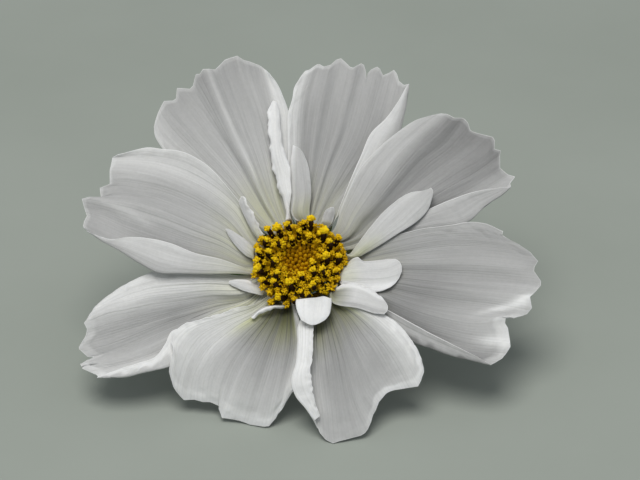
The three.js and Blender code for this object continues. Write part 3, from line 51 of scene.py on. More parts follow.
BLADES = [
    ("ray_petal_1", [
        [[-5.48,-7.62,20.14],[-9.46,-5.62,22.12],[-15.41,-2.12,25.21],[-21.41,2.03,28.74],[-26.01,4.83,31.09],[-27.27,6.47,32.53],[-27.49,7.91,33.49]],
        [[-5.13,-7.41,20.28],[-8.94,-4.37,23.37],[-14.04,0.63,27.99],[-19.35,5.06,31.57],[-23.65,9.28,34.49],[-25.83,11.96,36.23]],
        [[-4.82,-7.25,20.4],[-8.44,-2.98,24.11],[-12.67,2.54,29.03],[-17.13,7.9,33.28],[-20.91,12.4,36.27],[-22.55,14.27,37.48]],
        [[-4.43,-7.08,20.51],[-7.55,-3.7,24.61],[-10.54,1.11,28.93],[-14.1,6.57,33.3],[-17.36,12.81,37.67],[-19.02,16.47,40.08]],
        [[-4.1,-6.95,20.6],[-6.69,-2.66,24.53],[-9.17,2.87,29.44],[-11.87,9.01,34.24],[-14.24,14.72,38.15],[-15.71,18.16,40.4]],
        [[-3.75,-6.85,20.68],[-5.82,-2.84,24.86],[-7.59,2.85,29.87],[-9.75,8.98,34.68],[-11.93,14.98,38.82],[-13.05,18.9,41.4]],
        [[-3.4,-6.76,20.74],[-5.13,-2.2,24.85],[-6.38,3.23,29.63],[-7.83,9.36,34.44],[-9.64,14.69,38.17],[-10.74,18.28,40.53]],
        [[-3.12,-6.7,20.78],[-4.43,-2.36,24.95],[-5.33,3.07,29.73],[-6.24,8.9,34.31],[-7.51,13.84,37.86],[-8.6,17.26,40.11]],
        [[-2.83,-6.65,20.81],[-3.39,-2.0,24.71],[-3.41,3.44,29.48],[-3.51,7.98,32.82],[-3.88,10.69,35.05],[-4.67,11.94,36.86],[-5.82,13.82,38.7],[-7.16,15.36,39.83]],
    ], [
        [0.0,-27.49,7.91,33.49], [0.185,-27.33,8.7,34.02], [0.529,-26.84,10.13,34.99], [1.0,-25.83,11.96,36.23], [1.309,-24.25,12.12,36.23], [1.433,-23.73,12.47,36.43],
        [1.794,-23.6,14.22,37.52], [2.0,-22.55,14.27,37.48], [2.215,-21.3,14.03,37.54], [2.345,-20.77,14.4,37.93], [2.71,-20.26,15.92,39.38], [2.834,-19.55,15.9,39.5],
        [3.0,-19.02,16.47,40.08], [3.548,-16.92,16.75,39.8], [4.0,-15.71,18.16,40.4], [4.251,-15.18,18.54,40.79], [4.569,-14.29,18.74,41.08], [5.0,-13.05,18.9,41.4],
        [5.498,-11.98,18.43,40.85], [6.0,-10.74,18.28,40.53], [6.656,-9.32,17.66,40.29], [7.0,-8.6,17.26,40.11], [8.0,-7.16,15.36,39.83],
    ]),
    ("ray_petal_2", [
        [[-1.89,-6.58,20.86],[-3.2,-3.43,24.63],[-3.83,1.36,28.76],[-4.02,5.88,32.49],[-3.86,9.81,35.61],[-3.22,11.65,37.04],[-2.91,13.42,38.12],[-1.86,15.18,39.32]],
        [[-1.6,-6.58,20.86],[-1.81,-3.0,24.34],[-2.17,1.8,28.47],[-2.19,6.77,32.55],[-1.85,11.28,36.13],[-0.27,16.68,39.85]],
        [[-1.31,-6.59,20.85],[-1.29,-2.74,24.16],[-1.13,2.06,28.3],[-0.79,7.03,32.38],[-0.09,12.16,36.42],[1.67,17.85,40.28]],
        [[-1.02,-6.62,20.84],[-0.77,-3.09,24.4],[-0.07,1.71,28.53],[0.8,6.67,32.61],[1.85,11.79,36.65],[3.44,17.31,40.4]],
        [[-0.73,-6.65,20.81],[-0.07,-2.75,24.17],[1.15,2.04,28.31],[2.55,7.01,32.39],[3.97,12.64,36.74],[5.4,18.82,40.93]],
        [[-0.44,-6.7,20.78],[0.63,-3.11,24.41],[2.37,1.67,28.55],[4.3,6.64,32.63],[5.9,11.8,36.64],[7.52,16.92,40.12]],
        [[-0.16,-6.76,20.74],[1.32,-2.78,24.19],[3.42,2.0,28.34],[6.06,6.97,32.42],[7.85,12.18,36.41],[9.47,17.79,40.21]],
        [[0.12,-6.83,20.69],[2.02,-3.19,24.26],[4.82,1.42,28.3],[7.99,6.23,32.27],[9.95,11.27,36.14],[11.77,17.19,40.16]],
        [[0.4,-6.91,20.63],[2.72,-3.23,23.86],[6.22,1.21,27.81],[9.92,5.86,31.67],[12.06,10.61,35.31],[13.89,16.52,39.32]],
        [[0.6,-6.98,20.58],[3.42,-3.81,23.41],[7.44,0.5,27.03],[11.49,4.83,30.67],[13.81,8.97,34.06],[15.64,15.06,38.56]],
        [[0.8,-7.06,20.53],[4.28,-5.45,23.27],[8.46,-1.76,26.65],[12.5,1.93,29.85],[15.33,5.64,32.86],[16.42,9.02,35.28],[17.08,11.87,37.22],[17.37,13.94,38.63]],
        [[0.93,-7.11,20.49],[3.58,-6.64,22.41],[5.32,-3.93,25.39],[7.07,-0.71,28.46],[8.83,2.49,31.15],[10.59,5.65,33.68],[13.24,7.78,35.43],[15.19,10.16,37.04],[16.83,13.18,38.48]],
    ], [
        [0.0,-1.86,15.18,39.32], [0.654,-0.98,16.38,39.82], [1.0,-0.27,16.68,39.85], [1.764,1.14,17.78,40.32], [2.0,1.67,17.85,40.28], [2.433,2.38,17.29,40.1],
        [3.0,3.44,17.31,40.4], [3.609,4.51,18.43,40.86], [4.0,5.4,18.82,40.93], [4.433,6.28,17.94,40.54], [4.797,6.99,17.16,40.18], [5.0,7.52,16.92,40.12],
        [5.732,8.94,17.92,40.44], [6.0,9.47,17.79,40.21], [6.218,9.82,16.62,39.47], [6.457,9.86,15.29,38.63], [6.64,10.08,16.18,39.32], [6.799,10.7,16.77,39.79],
        [7.0,11.77,17.19,40.16], [7.209,12.3,16.93,39.9], [7.624,12.82,16.02,39.11], [8.0,13.89,16.52,39.32], [8.322,14.78,16.93,39.7], [8.598,15.3,16.25,39.29],
        [9.0,15.64,15.06,38.56], [9.557,16.5,14.07,38.34], [10.0,17.37,13.94,38.63], [11.0,16.83,13.18,38.48],
    ]),
    ("ray_petal_3", [
        [[2.07,-7.9,20.31],[4.01,-7.73,22.32],[5.31,-5.37,25.11],[6.97,-2.45,27.85],[8.63,-0.06,30.12],[10.73,1.81,31.7],[13.27,3.7,33.28],[16.17,5.51,34.81],[18.81,6.89,35.79],[20.91,7.44,36.17]],
        [[2.34,-8.1,20.17],[5.65,-8.57,22.06],[7.73,-6.39,24.55],[9.82,-4.18,26.82],[12.09,-1.83,29.21],[14.72,0.99,31.51],[17.35,3.24,33.37],[20.35,5.63,35.15],[22.83,7.55,36.49]],
        [[2.6,-8.31,20.02],[6.17,-9.23,21.68],[8.59,-7.21,24.06],[11.2,-5.17,26.23],[13.81,-2.96,28.5],[16.61,-0.15,30.8],[19.25,2.09,32.66],[22.25,4.35,34.31],[25.09,6.82,36.04]],
        [[2.79,-8.49,19.89],[6.69,-8.96,21.49],[9.81,-6.92,23.86],[12.94,-4.8,26.19],[16.25,-2.03,28.72],[19.59,0.62,30.92],[23.64,3.26,32.94],[27.04,7.04,35.59]],
        [[2.98,-8.68,19.76],[7.21,-8.95,21.27],[11.02,-6.76,23.76],[14.84,-4.72,26.13],[18.86,-2.13,28.37],[23.24,0.5,30.58],[26.6,2.65,32.09],[29.8,5.07,33.78]],
        [[3.15,-8.87,19.62],[7.55,-9.3,21.31],[12.23,-7.22,23.86],[16.73,-5.45,26.0],[21.44,-3.01,28.12],[25.82,-0.75,29.95],[29.34,1.09,31.24],[32.1,3.24,32.74]],
        [[3.35,-9.12,19.45],[7.9,-9.46,20.99],[13.43,-7.62,23.5],[18.63,-5.95,25.51],[23.86,-3.69,27.53],[28.41,-1.64,29.08],[33.0,0.96,30.9]],
        [[3.53,-9.38,19.26],[8.25,-9.62,20.68],[14.47,-8.11,22.8],[20.37,-6.48,24.61],[25.75,-4.91,26.26],[30.11,-3.23,27.85],[34.34,-1.05,29.37]],
        [[3.69,-9.65,19.07],[8.91,-11.12,21.11],[15.45,-10.12,23.14],[21.47,-9.66,24.18],[26.98,-9.12,24.96],[30.14,-6.89,26.57],[33.3,-4.92,27.94],[34.72,-3.86,28.69]],
        [[3.77,-9.82,18.96],[8.23,-10.41,21.45],[14.43,-9.2,23.97],[20.12,-7.39,26.28],[24.11,-6.11,27.5],[27.57,-5.17,28.32],[30.87,-4.56,28.74],[33.15,-4.06,28.61]],
    ], [
        [0.0,20.91,7.44,36.17], [0.545,21.96,7.49,36.34], [1.0,22.83,7.55,36.49], [1.437,23.88,7.39,36.41], [2.0,25.09,6.82,36.04], [2.705,26.51,7.14,35.84],
        [3.0,27.04,7.04,35.59], [3.194,27.55,6.56,35.17], [3.499,27.88,5.58,34.35], [3.651,28.4,5.32,34.1], [4.0,29.8,5.07,33.78], [4.61,31.87,4.47,33.51],
        [4.803,32.17,3.89,33.15], [5.0,32.1,3.24,32.74], [5.189,32.05,2.66,32.29], [5.519,33.21,2.41,32.04], [5.763,32.97,1.69,31.47], [6.0,33.0,0.96,30.9],
        [6.401,32.97,-0.08,30.13], [7.0,34.34,-1.05,29.37], [7.37,35.51,-1.67,29.41], [7.789,34.58,-3.05,28.98], [8.0,34.72,-3.86,28.69], [9.0,33.15,-4.06,28.61],
    ]),
    ("ray_petal_4", [
        [[4.19,-11.41,18.22],[7.19,-12.07,20.09],[11.3,-11.39,22.56],[15.42,-10.94,23.71],[18.86,-10.55,24.49],[24.01,-10.13,25.03],[26.94,-9.79,25.42],[29.68,-9.93,25.31],[33.09,-11.1,24.45]],
        [[4.21,-11.65,18.05],[7.53,-12.62,19.64],[12.84,-12.57,21.49],[18.5,-12.12,22.86],[23.99,-11.72,23.42],[29.47,-11.99,23.4],[35.8,-12.74,22.77]],
        [[4.21,-11.89,17.88],[7.7,-13.36,19.11],[14.04,-13.57,20.52],[19.51,-13.6,21.38],[24.83,-13.49,21.72],[30.13,-13.73,21.68],[38.68,-14.52,20.98]],
        [[4.2,-12.13,17.71],[7.86,-14.24,18.89],[14.54,-14.78,19.91],[20.17,-15.35,20.31],[25.46,-15.53,20.44],[30.76,-15.89,20.28],[38.27,-16.39,19.8]],
        [[4.17,-12.36,17.54],[8.03,-14.6,18.3],[14.7,-15.82,18.76],[20.5,-16.66,18.93],[25.78,-17.14,18.86],[31.07,-17.47,18.68],[39.43,-18.11,18.08]],
        [[4.14,-12.6,17.38],[8.02,-15.66,18.21],[14.67,-17.48,18.27],[20.45,-18.73,18.11],[25.88,-19.51,17.84],[30.64,-19.96,17.54],[37.45,-20.32,17.17]],
        [[4.08,-12.84,17.21],[8.02,-15.94,17.57],[14.32,-18.65,17.0],[19.92,-20.31,16.52],[25.17,-21.23,16.14],[29.76,-21.69,15.85],[36.37,-22.64,15.07]],
        [[4.02,-13.07,17.05],[7.84,-16.99,17.48],[13.61,-20.25,16.48],[19.18,-22.51,15.61],[24.08,-23.7,15.01],[28.82,-24.16,14.73],[33.27,-23.24,15.31]],
        [[3.96,-13.25,16.93],[7.68,-16.92,16.8],[12.93,-20.84,15.22],[18.33,-23.7,14.17],[23.39,-25.19,13.38],[28.46,-26.07,12.77],[33.87,-26.45,12.41]],
        [[3.89,-13.42,16.81],[7.34,-17.17,16.13],[12.25,-21.38,14.34],[17.32,-24.21,13.06],[22.54,-26.23,12.04],[27.08,-27.57,11.35],[33.16,-28.09,10.9]],
        [[3.82,-13.59,16.69],[6.81,-18.53,16.07],[12.22,-23.22,14.44],[17.27,-26.45,12.41],[21.12,-28.14,11.79],[25.31,-29.49,11.12],[27.83,-29.97,10.75],[30.52,-30.37,10.42]],
        [[3.73,-13.75,16.57],[7.49,-18.37,16.37],[12.91,-21.61,15.57],[16.94,-24.36,14.87],[20.28,-26.35,14.04],[23.62,-27.93,13.12],[26.64,-29.19,12.17],[29.33,-30.05,11.03]],
    ], [
        [0.0,33.09,-11.1,24.45], [0.193,32.9,-11.7,23.92], [0.484,33.93,-12.11,23.48], [1.0,35.8,-12.74,22.77], [1.591,37.68,-13.63,21.82], [2.0,38.68,-14.52,20.98],
        [2.205,39.01,-14.83,20.79], [2.708,38.38,-15.77,20.19], [3.0,38.27,-16.39,19.8], [3.753,39.44,-17.6,18.56], [4.0,39.43,-18.11,18.08], [4.393,38.71,-19.02,17.69],
        [5.0,37.45,-20.32,17.17], [5.505,37.75,-21.77,15.91], [5.857,36.88,-22.54,15.21], [6.0,36.37,-22.64,15.07], [6.551,34.64,-23.25,15.0], [6.94,33.44,-23.14,15.34],
        [7.0,33.27,-23.24,15.31], [7.271,33.08,-24.14,14.5], [7.495,33.57,-24.77,13.91], [8.0,33.87,-26.45,12.41], [8.42,33.94,-27.21,11.72], [9.0,33.16,-28.09,10.9],
        [9.342,32.44,-29.07,10.59], [10.0,30.52,-30.37,10.42], [11.0,29.33,-30.05,11.03],
    ]),
    ("ray_petal_5", [
        [[2.22,-15.6,15.52],[5.6,-19.74,16.31],[8.82,-21.56,16.81],[12.35,-23.76,16.12],[14.54,-24.9,15.27],[16.89,-26.97,13.44],[18.23,-28.35,11.95],[19.17,-30.02,9.4]],
        [[2.0,-15.76,15.41],[4.91,-20.26,16.27],[7.79,-22.26,16.48],[10.82,-24.53,15.84],[13.5,-26.66,14.27],[15.86,-28.58,12.13],[17.37,-30.3,10.04],[18.73,-31.64,7.88]],
        [[1.77,-15.9,15.31],[4.41,-19.99,15.65],[6.95,-22.46,15.15],[9.64,-25.35,13.92],[11.99,-27.77,12.14],[13.84,-29.78,9.85],[16.03,-32.13,6.66]],
        [[1.53,-16.04,15.21],[3.72,-20.05,15.28],[5.93,-23.13,14.37],[7.94,-26.69,12.6],[9.78,-29.53,10.52],[11.3,-31.34,8.29],[12.98,-32.89,6.29]],
        [[1.28,-16.17,15.12],[3.21,-20.43,15.34],[4.9,-24.19,14.11],[6.41,-28.1,11.97],[7.91,-31.31,9.34],[9.26,-33.7,6.5],[11.11,-35.03,4.34]],
        [[1.03,-16.29,15.04],[2.7,-20.22,14.97],[3.71,-24.53,13.52],[4.89,-28.57,11.27],[5.89,-32.02,8.39],[6.89,-34.87,5.07],[8.58,-37.5,0.82]],
        [[0.76,-16.4,14.97],[2.19,-20.53,14.99],[2.69,-24.63,13.59],[3.36,-28.88,11.3],[4.03,-32.72,8.09],[4.53,-35.81,4.53],[5.04,-38.43,0.39]],
        [[0.5,-16.49,14.9],[1.5,-20.31,14.61],[1.5,-24.46,13.25],[1.67,-28.78,11.01],[2.01,-32.79,7.72],[2.51,-35.88,4.16],[2.85,-38.28,0.38]],
        [[0.22,-16.58,14.84],[0.65,-20.13,14.06],[-0.2,-23.83,12.77],[-0.36,-28.01,10.84],[-0.52,-31.59,8.49],[0.33,-34.78,5.22],[1.34,-37.06,2.09]],
        [[-0.06,-16.65,14.78],[-0.71,-21.96,14.99],[-1.89,-24.04,14.21],[-2.04,-27.64,12.9],[-2.29,-30.39,10.96],[-3.04,-33.31,8.55],[-2.36,-34.64,7.04],[-0.68,-35.96,5.51],[0.83,-37.14,3.89]],
        [[-0.34,-16.72,14.74],[0.14,-22.36,15.08],[0.49,-25.49,14.87],[0.49,-28.45,13.72],[0.41,-30.72,12.07],[0.16,-32.99,10.43],[0.5,-34.75,8.2],[1.0,-35.76,6.43],[1.67,-36.68,4.37]],
    ], [
        [0.0,19.17,-30.02,9.4], [0.298,19.25,-30.52,8.94], [1.0,18.73,-31.64,7.88], [1.323,18.22,-32.24,7.17], [2.0,16.03,-32.13,6.66], [2.541,14.34,-32.4,6.55],
        [2.821,13.49,-32.65,6.43], [3.0,12.98,-32.89,6.29], [3.137,12.64,-33.13,6.06], [3.585,11.63,-34.0,5.24], [4.0,11.11,-35.03,4.34], [4.192,10.61,-35.52,3.65],
        [4.431,10.27,-36.24,2.72], [4.681,9.76,-36.94,1.78], [4.845,9.26,-37.32,1.22], [5.0,8.58,-37.5,0.82], [5.62,6.39,-38.09,0.54], [6.0,5.04,-38.43,0.39],
        [6.526,3.86,-38.75,0.11], [7.0,2.85,-38.28,0.38], [7.159,2.52,-38.16,0.6], [7.657,1.67,-37.58,1.43], [8.0,1.34,-37.06,2.09], [9.0,0.83,-37.14,3.89],
        [10.0,1.67,-36.68,4.37],
    ]),
    ("ray_petal_6", [
        [[-3.24,-16.43,14.33],[-2.1,-19.88,12.8],[-1.23,-23.28,11.29],[-0.88,-26.39,10.02],[-1.21,-29.25,8.38],[-2.22,-31.15,6.86],[-3.24,-31.94,5.54]],
        [[-3.59,-16.35,14.39],[-2.95,-20.78,13.05],[-2.41,-25.39,11.18],[-2.73,-28.85,8.92],[-3.74,-31.63,6.37],[-4.76,-33.5,3.22]],
        [[-3.94,-16.25,14.46],[-3.8,-21.27,13.2],[-4.1,-26.06,11.27],[-4.93,-29.65,8.69],[-5.94,-32.38,5.45],[-6.98,-34.45,0.4]],
        [[-4.28,-16.13,14.54],[-4.83,-21.05,13.03],[-5.98,-25.69,11.2],[-7.3,-29.53,8.38],[-8.66,-32.14,4.84],[-10.22,-33.76,0.17]],
        [[-4.61,-16.0,14.63],[-5.85,-21.21,13.36],[-8.01,-25.83,11.52],[-10.18,-29.61,8.66],[-11.88,-31.84,5.03],[-13.11,-33.15,0.77]],
        [[-4.92,-15.85,14.74],[-6.88,-20.75,13.45],[-10.06,-25.21,11.69],[-12.91,-28.57,9.13],[-14.61,-30.64,5.59],[-15.5,-31.87,2.02]],
        [[-5.17,-15.72,14.83],[-7.9,-20.68,13.82],[-11.93,-24.5,12.43],[-15.63,-27.49,10.01],[-17.69,-29.27,6.67],[-18.25,-30.78,2.67]],
        [[-5.41,-15.58,14.92],[-8.93,-20.18,14.09],[-13.82,-23.38,13.08],[-18.04,-26.01,11.01],[-20.08,-27.99,8.25],[-21.13,-29.35,5.22],[-21.5,-30.39,2.8]],
        [[-5.64,-15.43,15.03],[-9.62,-19.92,14.54],[-15.02,-22.69,14.05],[-19.57,-24.68,12.78],[-21.76,-26.64,10.64],[-22.77,-28.66,7.91],[-23.32,-29.69,5.27]],
        [[-5.8,-15.31,15.11],[-10.29,-20.0,15.17],[-12.66,-20.81,15.28],[-15.02,-21.95,15.09],[-18.73,-23.13,14.59],[-22.13,-23.88,13.66],[-23.56,-24.92,12.74],[-23.33,-27.25,11.11],[-23.77,-28.25,9.31],[-23.95,-28.97,7.73]],
    ], [
        [0.0,-3.24,-31.94,5.54], [0.192,-3.57,-32.21,5.11], [1.0,-4.76,-33.5,3.22], [1.285,-5.44,-33.74,2.44], [1.497,-5.78,-34.01,1.79], [2.0,-6.98,-34.45,0.4],
        [2.262,-7.83,-34.4,0.25], [3.0,-10.22,-33.76,0.17], [3.597,-11.92,-33.32,0.58], [4.0,-13.11,-33.15,0.77], [4.539,-14.98,-33.06,1.02], [5.0,-15.5,-31.87,2.02],
        [5.151,-15.51,-31.43,2.32], [5.647,-17.05,-30.81,2.69], [6.0,-18.25,-30.78,2.67], [6.432,-19.62,-30.38,2.89], [7.0,-21.5,-30.39,2.8], [7.316,-22.16,-30.23,3.54],
        [7.674,-22.83,-29.98,4.42], [8.0,-23.32,-29.69,5.27], [9.0,-23.95,-28.97,7.73],
    ]),
    ("ray_petal_7", [
        [[-6.64,-14.38,15.4],[-8.3,-17.64,14.14],[-15.45,-20.76,12.61],[-20.54,-22.24,12.22],[-23.58,-23.13,12.03],[-24.69,-25.46,11.02],[-26.33,-27.55,9.84],[-28.85,-28.31,9.26],[-31.38,-28.94,8.78],[-34.29,-29.28,7.75]],
        [[-6.77,-14.23,15.5],[-8.98,-17.84,13.85],[-15.94,-22.32,11.43],[-20.13,-25.39,9.9],[-23.8,-28.23,8.44],[-26.32,-28.92,8.12],[-28.85,-29.33,7.8],[-31.38,-29.81,7.42],[-33.92,-29.96,7.28],[-36.13,-29.91,7.28]],
        [[-6.89,-14.08,15.61],[-9.68,-17.21,13.82],[-16.14,-20.99,11.92],[-20.7,-23.62,10.48],[-24.58,-25.55,9.16],[-28.44,-27.09,8.42],[-32.0,-27.85,7.82],[-36.39,-28.86,7.04]],
        [[-7.04,-13.87,15.76],[-10.2,-17.1,14.16],[-16.33,-19.93,12.84],[-21.24,-22.3,11.62],[-26.29,-24.74,10.26],[-31.35,-26.5,9.04],[-38.79,-27.87,7.95]],
        [[-7.17,-13.66,15.9],[-10.39,-16.37,14.05],[-16.54,-18.59,13.13],[-21.63,-20.68,12.12],[-26.54,-22.67,11.05],[-31.26,-24.49,9.85],[-37.02,-26.03,8.67]],
        [[-7.3,-13.44,16.06],[-10.55,-16.4,14.4],[-16.71,-18.16,13.77],[-21.64,-19.73,13.12],[-26.56,-21.27,12.35],[-31.13,-22.84,11.39],[-39.43,-24.94,9.77]],
        [[-7.43,-13.16,16.25],[-10.72,-16.52,14.81],[-16.88,-17.67,14.58],[-21.99,-19.02,14.09],[-26.91,-20.27,13.52],[-31.16,-21.28,12.99],[-38.19,-22.95,11.69]],
        [[-7.55,-12.88,16.45],[-11.05,-16.61,15.61],[-17.55,-17.4,15.66],[-23.17,-18.39,15.43],[-27.43,-19.01,15.25],[-30.82,-19.82,14.89],[-34.57,-20.43,14.39],[-38.28,-21.86,13.32]],
        [[-7.65,-12.53,16.7],[-11.24,-15.2,16.19],[-17.73,-16.31,16.88],[-23.52,-17.04,17.09],[-27.46,-17.32,16.77],[-30.9,-17.85,15.88],[-33.98,-18.6,14.84],[-37.37,-19.95,13.71]],
        [[-7.73,-12.17,16.94],[-11.09,-13.71,17.02],[-17.59,-14.37,18.34],[-22.71,-14.56,19.12],[-26.14,-14.86,18.91],[-28.9,-15.34,17.98],[-31.81,-16.27,16.75],[-34.39,-17.23,15.43],[-36.43,-18.28,14.28]],
    ], [
        [0.0,-34.29,-29.28,7.75], [1.0,-36.13,-29.91,7.28], [1.436,-36.0,-29.4,7.21], [2.0,-36.39,-28.86,7.04], [2.715,-38.79,-28.05,7.76], [2.883,-38.46,-27.64,8.09],
        [3.0,-38.79,-27.87,7.95], [3.215,-39.16,-27.28,8.24], [3.984,-37.01,-26.08,8.65], [4.0,-37.02,-26.03,8.67], [4.277,-37.86,-26.09,8.72], [4.945,-39.42,-25.08,9.66],
        [5.0,-39.43,-24.94,9.77], [5.056,-39.43,-24.82,9.89], [5.83,-38.27,-23.33,11.33], [6.0,-38.19,-22.95,11.69], [6.235,-38.11,-22.65,12.1], [6.753,-38.62,-22.08,12.95],
        [7.0,-38.28,-21.86,13.32], [7.73,-37.68,-20.42,13.63], [8.0,-37.37,-19.95,13.71], [9.0,-36.43,-18.28,14.28],
    ]),
    ("ray_petal_8", [
        [[-7.78,-11.38,17.99],[-9.53,-13.72,17.88],[-12.07,-14.19,19.27],[-15.49,-13.92,20.56],[-19.76,-13.7,21.66],[-24.05,-12.68,23.04],[-27.48,-12.25,23.69],[-30.88,-12.36,24.07],[-34.31,-12.59,23.81],[-37.29,-11.44,23.95]],
        [[-7.76,-11.2,18.12],[-9.87,-13.99,17.65],[-12.92,-15.14,18.47],[-18.03,-16.0,18.99],[-22.27,-16.52,19.47],[-26.02,-16.62,19.75],[-29.12,-15.49,20.83],[-32.58,-13.88,22.21],[-36.07,-12.19,23.33],[-38.89,-10.43,24.51]],
        [[-7.73,-11.02,18.24],[-10.07,-12.8,17.64],[-15.55,-13.28,18.83],[-20.68,-13.47,19.82],[-25.83,-13.03,20.77],[-29.61,-12.04,21.96],[-33.42,-10.84,23.22],[-39.01,-8.66,24.64]],
        [[-7.67,-10.72,18.45],[-10.06,-12.23,18.51],[-15.39,-11.46,20.71],[-21.23,-10.89,22.42],[-26.92,-9.68,23.88],[-32.11,-8.47,25.14],[-35.77,-7.21,25.95],[-39.08,-6.56,26.34]],
        [[-7.58,-10.43,18.65],[-9.89,-11.63,19.36],[-15.06,-10.16,22.12],[-20.73,-9.01,24.26],[-26.27,-7.48,25.92],[-31.46,-6.4,27.07],[-35.28,-5.9,27.35],[-38.57,-5.48,27.59]],
        [[-7.47,-10.14,18.85],[-9.74,-10.47,19.59],[-14.41,-8.09,22.99],[-20.12,-6.21,25.68],[-25.67,-4.66,27.35],[-30.87,-3.98,28.15],[-33.65,-3.65,28.34],[-36.42,-3.84,28.15]],
        [[-7.35,-9.86,19.05],[-9.4,-9.82,20.4],[-13.73,-6.75,24.37],[-18.93,-4.37,27.36],[-24.49,-2.66,29.14],[-29.36,-1.82,30.03],[-32.5,-1.32,30.33],[-34.81,-1.29,30.31]],
        [[-7.16,-9.53,19.28],[-9.06,-8.81,20.96],[-12.54,-4.83,25.58],[-17.07,-2.07,28.74],[-22.13,-0.03,30.72],[-27.18,0.81,31.63],[-31.02,1.08,31.76],[-34.41,0.96,31.63]],
        [[-6.88,-9.11,19.58],[-8.37,-8.33,21.89],[-10.44,-6.61,24.28],[-13.93,-3.42,27.77],[-18.65,0.14,31.23],[-22.32,1.47,32.54],[-25.97,1.78,32.92],[-28.24,2.02,33.05],[-31.0,1.48,32.64],[-33.42,0.89,32.2]],
    ], [
        [0.0,-37.29,-11.44,23.95], [1.0,-38.89,-10.43,24.51], [1.395,-39.11,-9.74,24.55], [2.0,-39.01,-8.66,24.64], [2.414,-38.52,-7.82,25.32], [3.0,-39.08,-6.56,26.34],
        [3.612,-39.45,-5.57,27.34], [4.0,-38.57,-5.48,27.59], [4.134,-38.07,-5.35,27.61], [4.622,-36.18,-5.29,27.36], [5.0,-36.42,-3.84,28.15], [5.06,-36.42,-3.63,28.32],
        [5.482,-34.73,-3.13,28.83], [6.0,-34.81,-1.29,30.31], [7.0,-34.41,0.96,31.63], [8.0,-33.42,0.89,32.2],
    ]),
    ("extra_petal_1", [
        [[-4.52,-6.81,22.53],[-4.14,-5.2,24.15],[-5.1,-3.2,26.16],[-5.98,-1.7,27.45],[-6.43,0.57,29.29],[-7.14,2.39,30.8],[-7.36,4.52,32.54],[-7.44,7.06,34.44],[-7.4,9.08,35.86],[-6.94,10.49,36.84]],
        [[-4.09,-6.68,22.63],[-3.96,-5.46,24.33],[-4.58,-3.56,26.4],[-5.36,-2.15,27.75],[-5.81,0.12,29.58],[-6.43,1.94,31.1],[-6.79,4.06,32.83],[-6.94,6.69,34.67],[-6.92,8.81,36.03],[-6.58,10.6,37.29]],
        [[-3.58,-6.55,22.71],[-3.67,-5.55,24.39],[-3.97,-3.74,26.52],[-4.41,-2.33,27.87],[-4.85,-0.15,29.76],[-5.47,1.76,31.21],[-5.92,3.97,32.89],[-6.11,6.6,34.73],[-6.13,8.81,36.03],[-6.06,10.54,37.12]],
        [[-3.06,-6.46,22.78],[-3.7,-6.08,24.75],[-3.42,-4.13,26.79],[-3.28,-1.89,28.42],[-3.55,0.16,29.97],[-4.17,2.0,31.26],[-4.7,3.63,32.28],[-5.15,5.88,33.74],[-5.43,8.15,35.2],[-5.71,10.11,36.45]],
    ], [
        [0.0,-6.94,10.49,36.84], [1.0,-6.58,10.6,37.29], [2.0,-6.06,10.54,37.12], [3.0,-5.71,10.11,36.45],
    ]),
    ("extra_petal_2", [
        [[-2.04,-6.37,22.84],[-3.19,-5.19,23.73],[-3.37,-2.54,26.13],[-3.56,0.16,28.51],[-3.42,2.2,30.3],[-3.05,4.24,32.1]],
        [[-1.24,-6.39,22.83],[-2.49,-5.65,23.83],[-2.41,-3.16,26.55],[-2.5,-0.47,28.93],[-2.51,1.65,30.66],[-2.52,3.73,32.11]],
        [[-0.45,-6.47,22.77],[-1.27,-6.0,24.07],[-1.11,-3.25,26.61],[-1.28,-0.93,28.61],[-1.64,1.19,30.33],[-1.91,3.52,31.84]],
        [[0.22,-6.6,22.68],[-0.15,-5.26,23.98],[0.11,-3.11,26.1],[0.02,-0.87,28.15],[-0.51,1.55,30.1],[-1.3,3.08,31.29]],
    ], [
        [0.0,-3.05,4.24,32.1], [1.0,-2.52,3.73,32.11], [2.0,-1.91,3.52,31.84], [3.0,-1.3,3.08,31.29],
    ]),
    ("extra_petal_3", [
        [[2.04,-6.69,22.62],[2.02,-6.74,23.32],[2.19,-6.0,24.07],[2.45,-5.48,24.56],[2.71,-5.19,24.88]],
        [[2.51,-6.92,22.45],[2.89,-6.91,23.44],[3.15,-6.27,24.25],[3.41,-5.69,24.91],[3.58,-5.08,25.33]],
        [[2.96,-7.18,22.27],[3.75,-6.89,23.21],[4.1,-6.15,23.97],[4.19,-5.57,24.62],[4.1,-4.98,25.16]],
    ], [
        [0.0,2.71,-5.19,24.88], [1.0,3.58,-5.08,25.33], [2.0,4.1,-4.98,25.16],
    ]),
    ("extra_petal_4", [
        [[5.52,-11.44,21.0],[6.66,-13.02,20.87],[7.69,-12.32,21.85],[9.07,-11.02,23.24],[10.54,-9.63,24.58],[12.18,-8.15,25.86],[13.91,-6.94,26.96],[15.65,-5.99,27.87],[17.2,-5.39,28.47],[18.76,-5.3,28.72]],
        [[5.63,-11.81,20.74],[6.91,-13.34,20.89],[8.28,-12.78,21.96],[10.09,-11.67,23.28],[11.81,-10.4,24.59],[13.71,-8.97,25.9],[15.62,-7.64,27.08],[17.53,-6.52,27.98],[19.61,-5.37,28.91]],
        [[5.72,-12.18,20.48],[7.08,-13.58,20.84],[8.88,-12.98,22.0],[10.94,-12.07,23.24],[12.83,-11.03,24.4],[14.9,-9.75,25.6],[16.98,-8.27,26.88],[18.9,-6.7,28.1],[20.82,-4.96,29.32]],
        [[5.78,-12.56,20.22],[7.25,-13.64,20.68],[9.57,-13.01,21.91],[11.97,-12.15,23.19],[13.86,-11.33,24.19],[15.76,-10.35,25.18],[17.83,-8.87,26.46],[19.58,-7.41,27.54],[21.16,-5.75,28.71]],
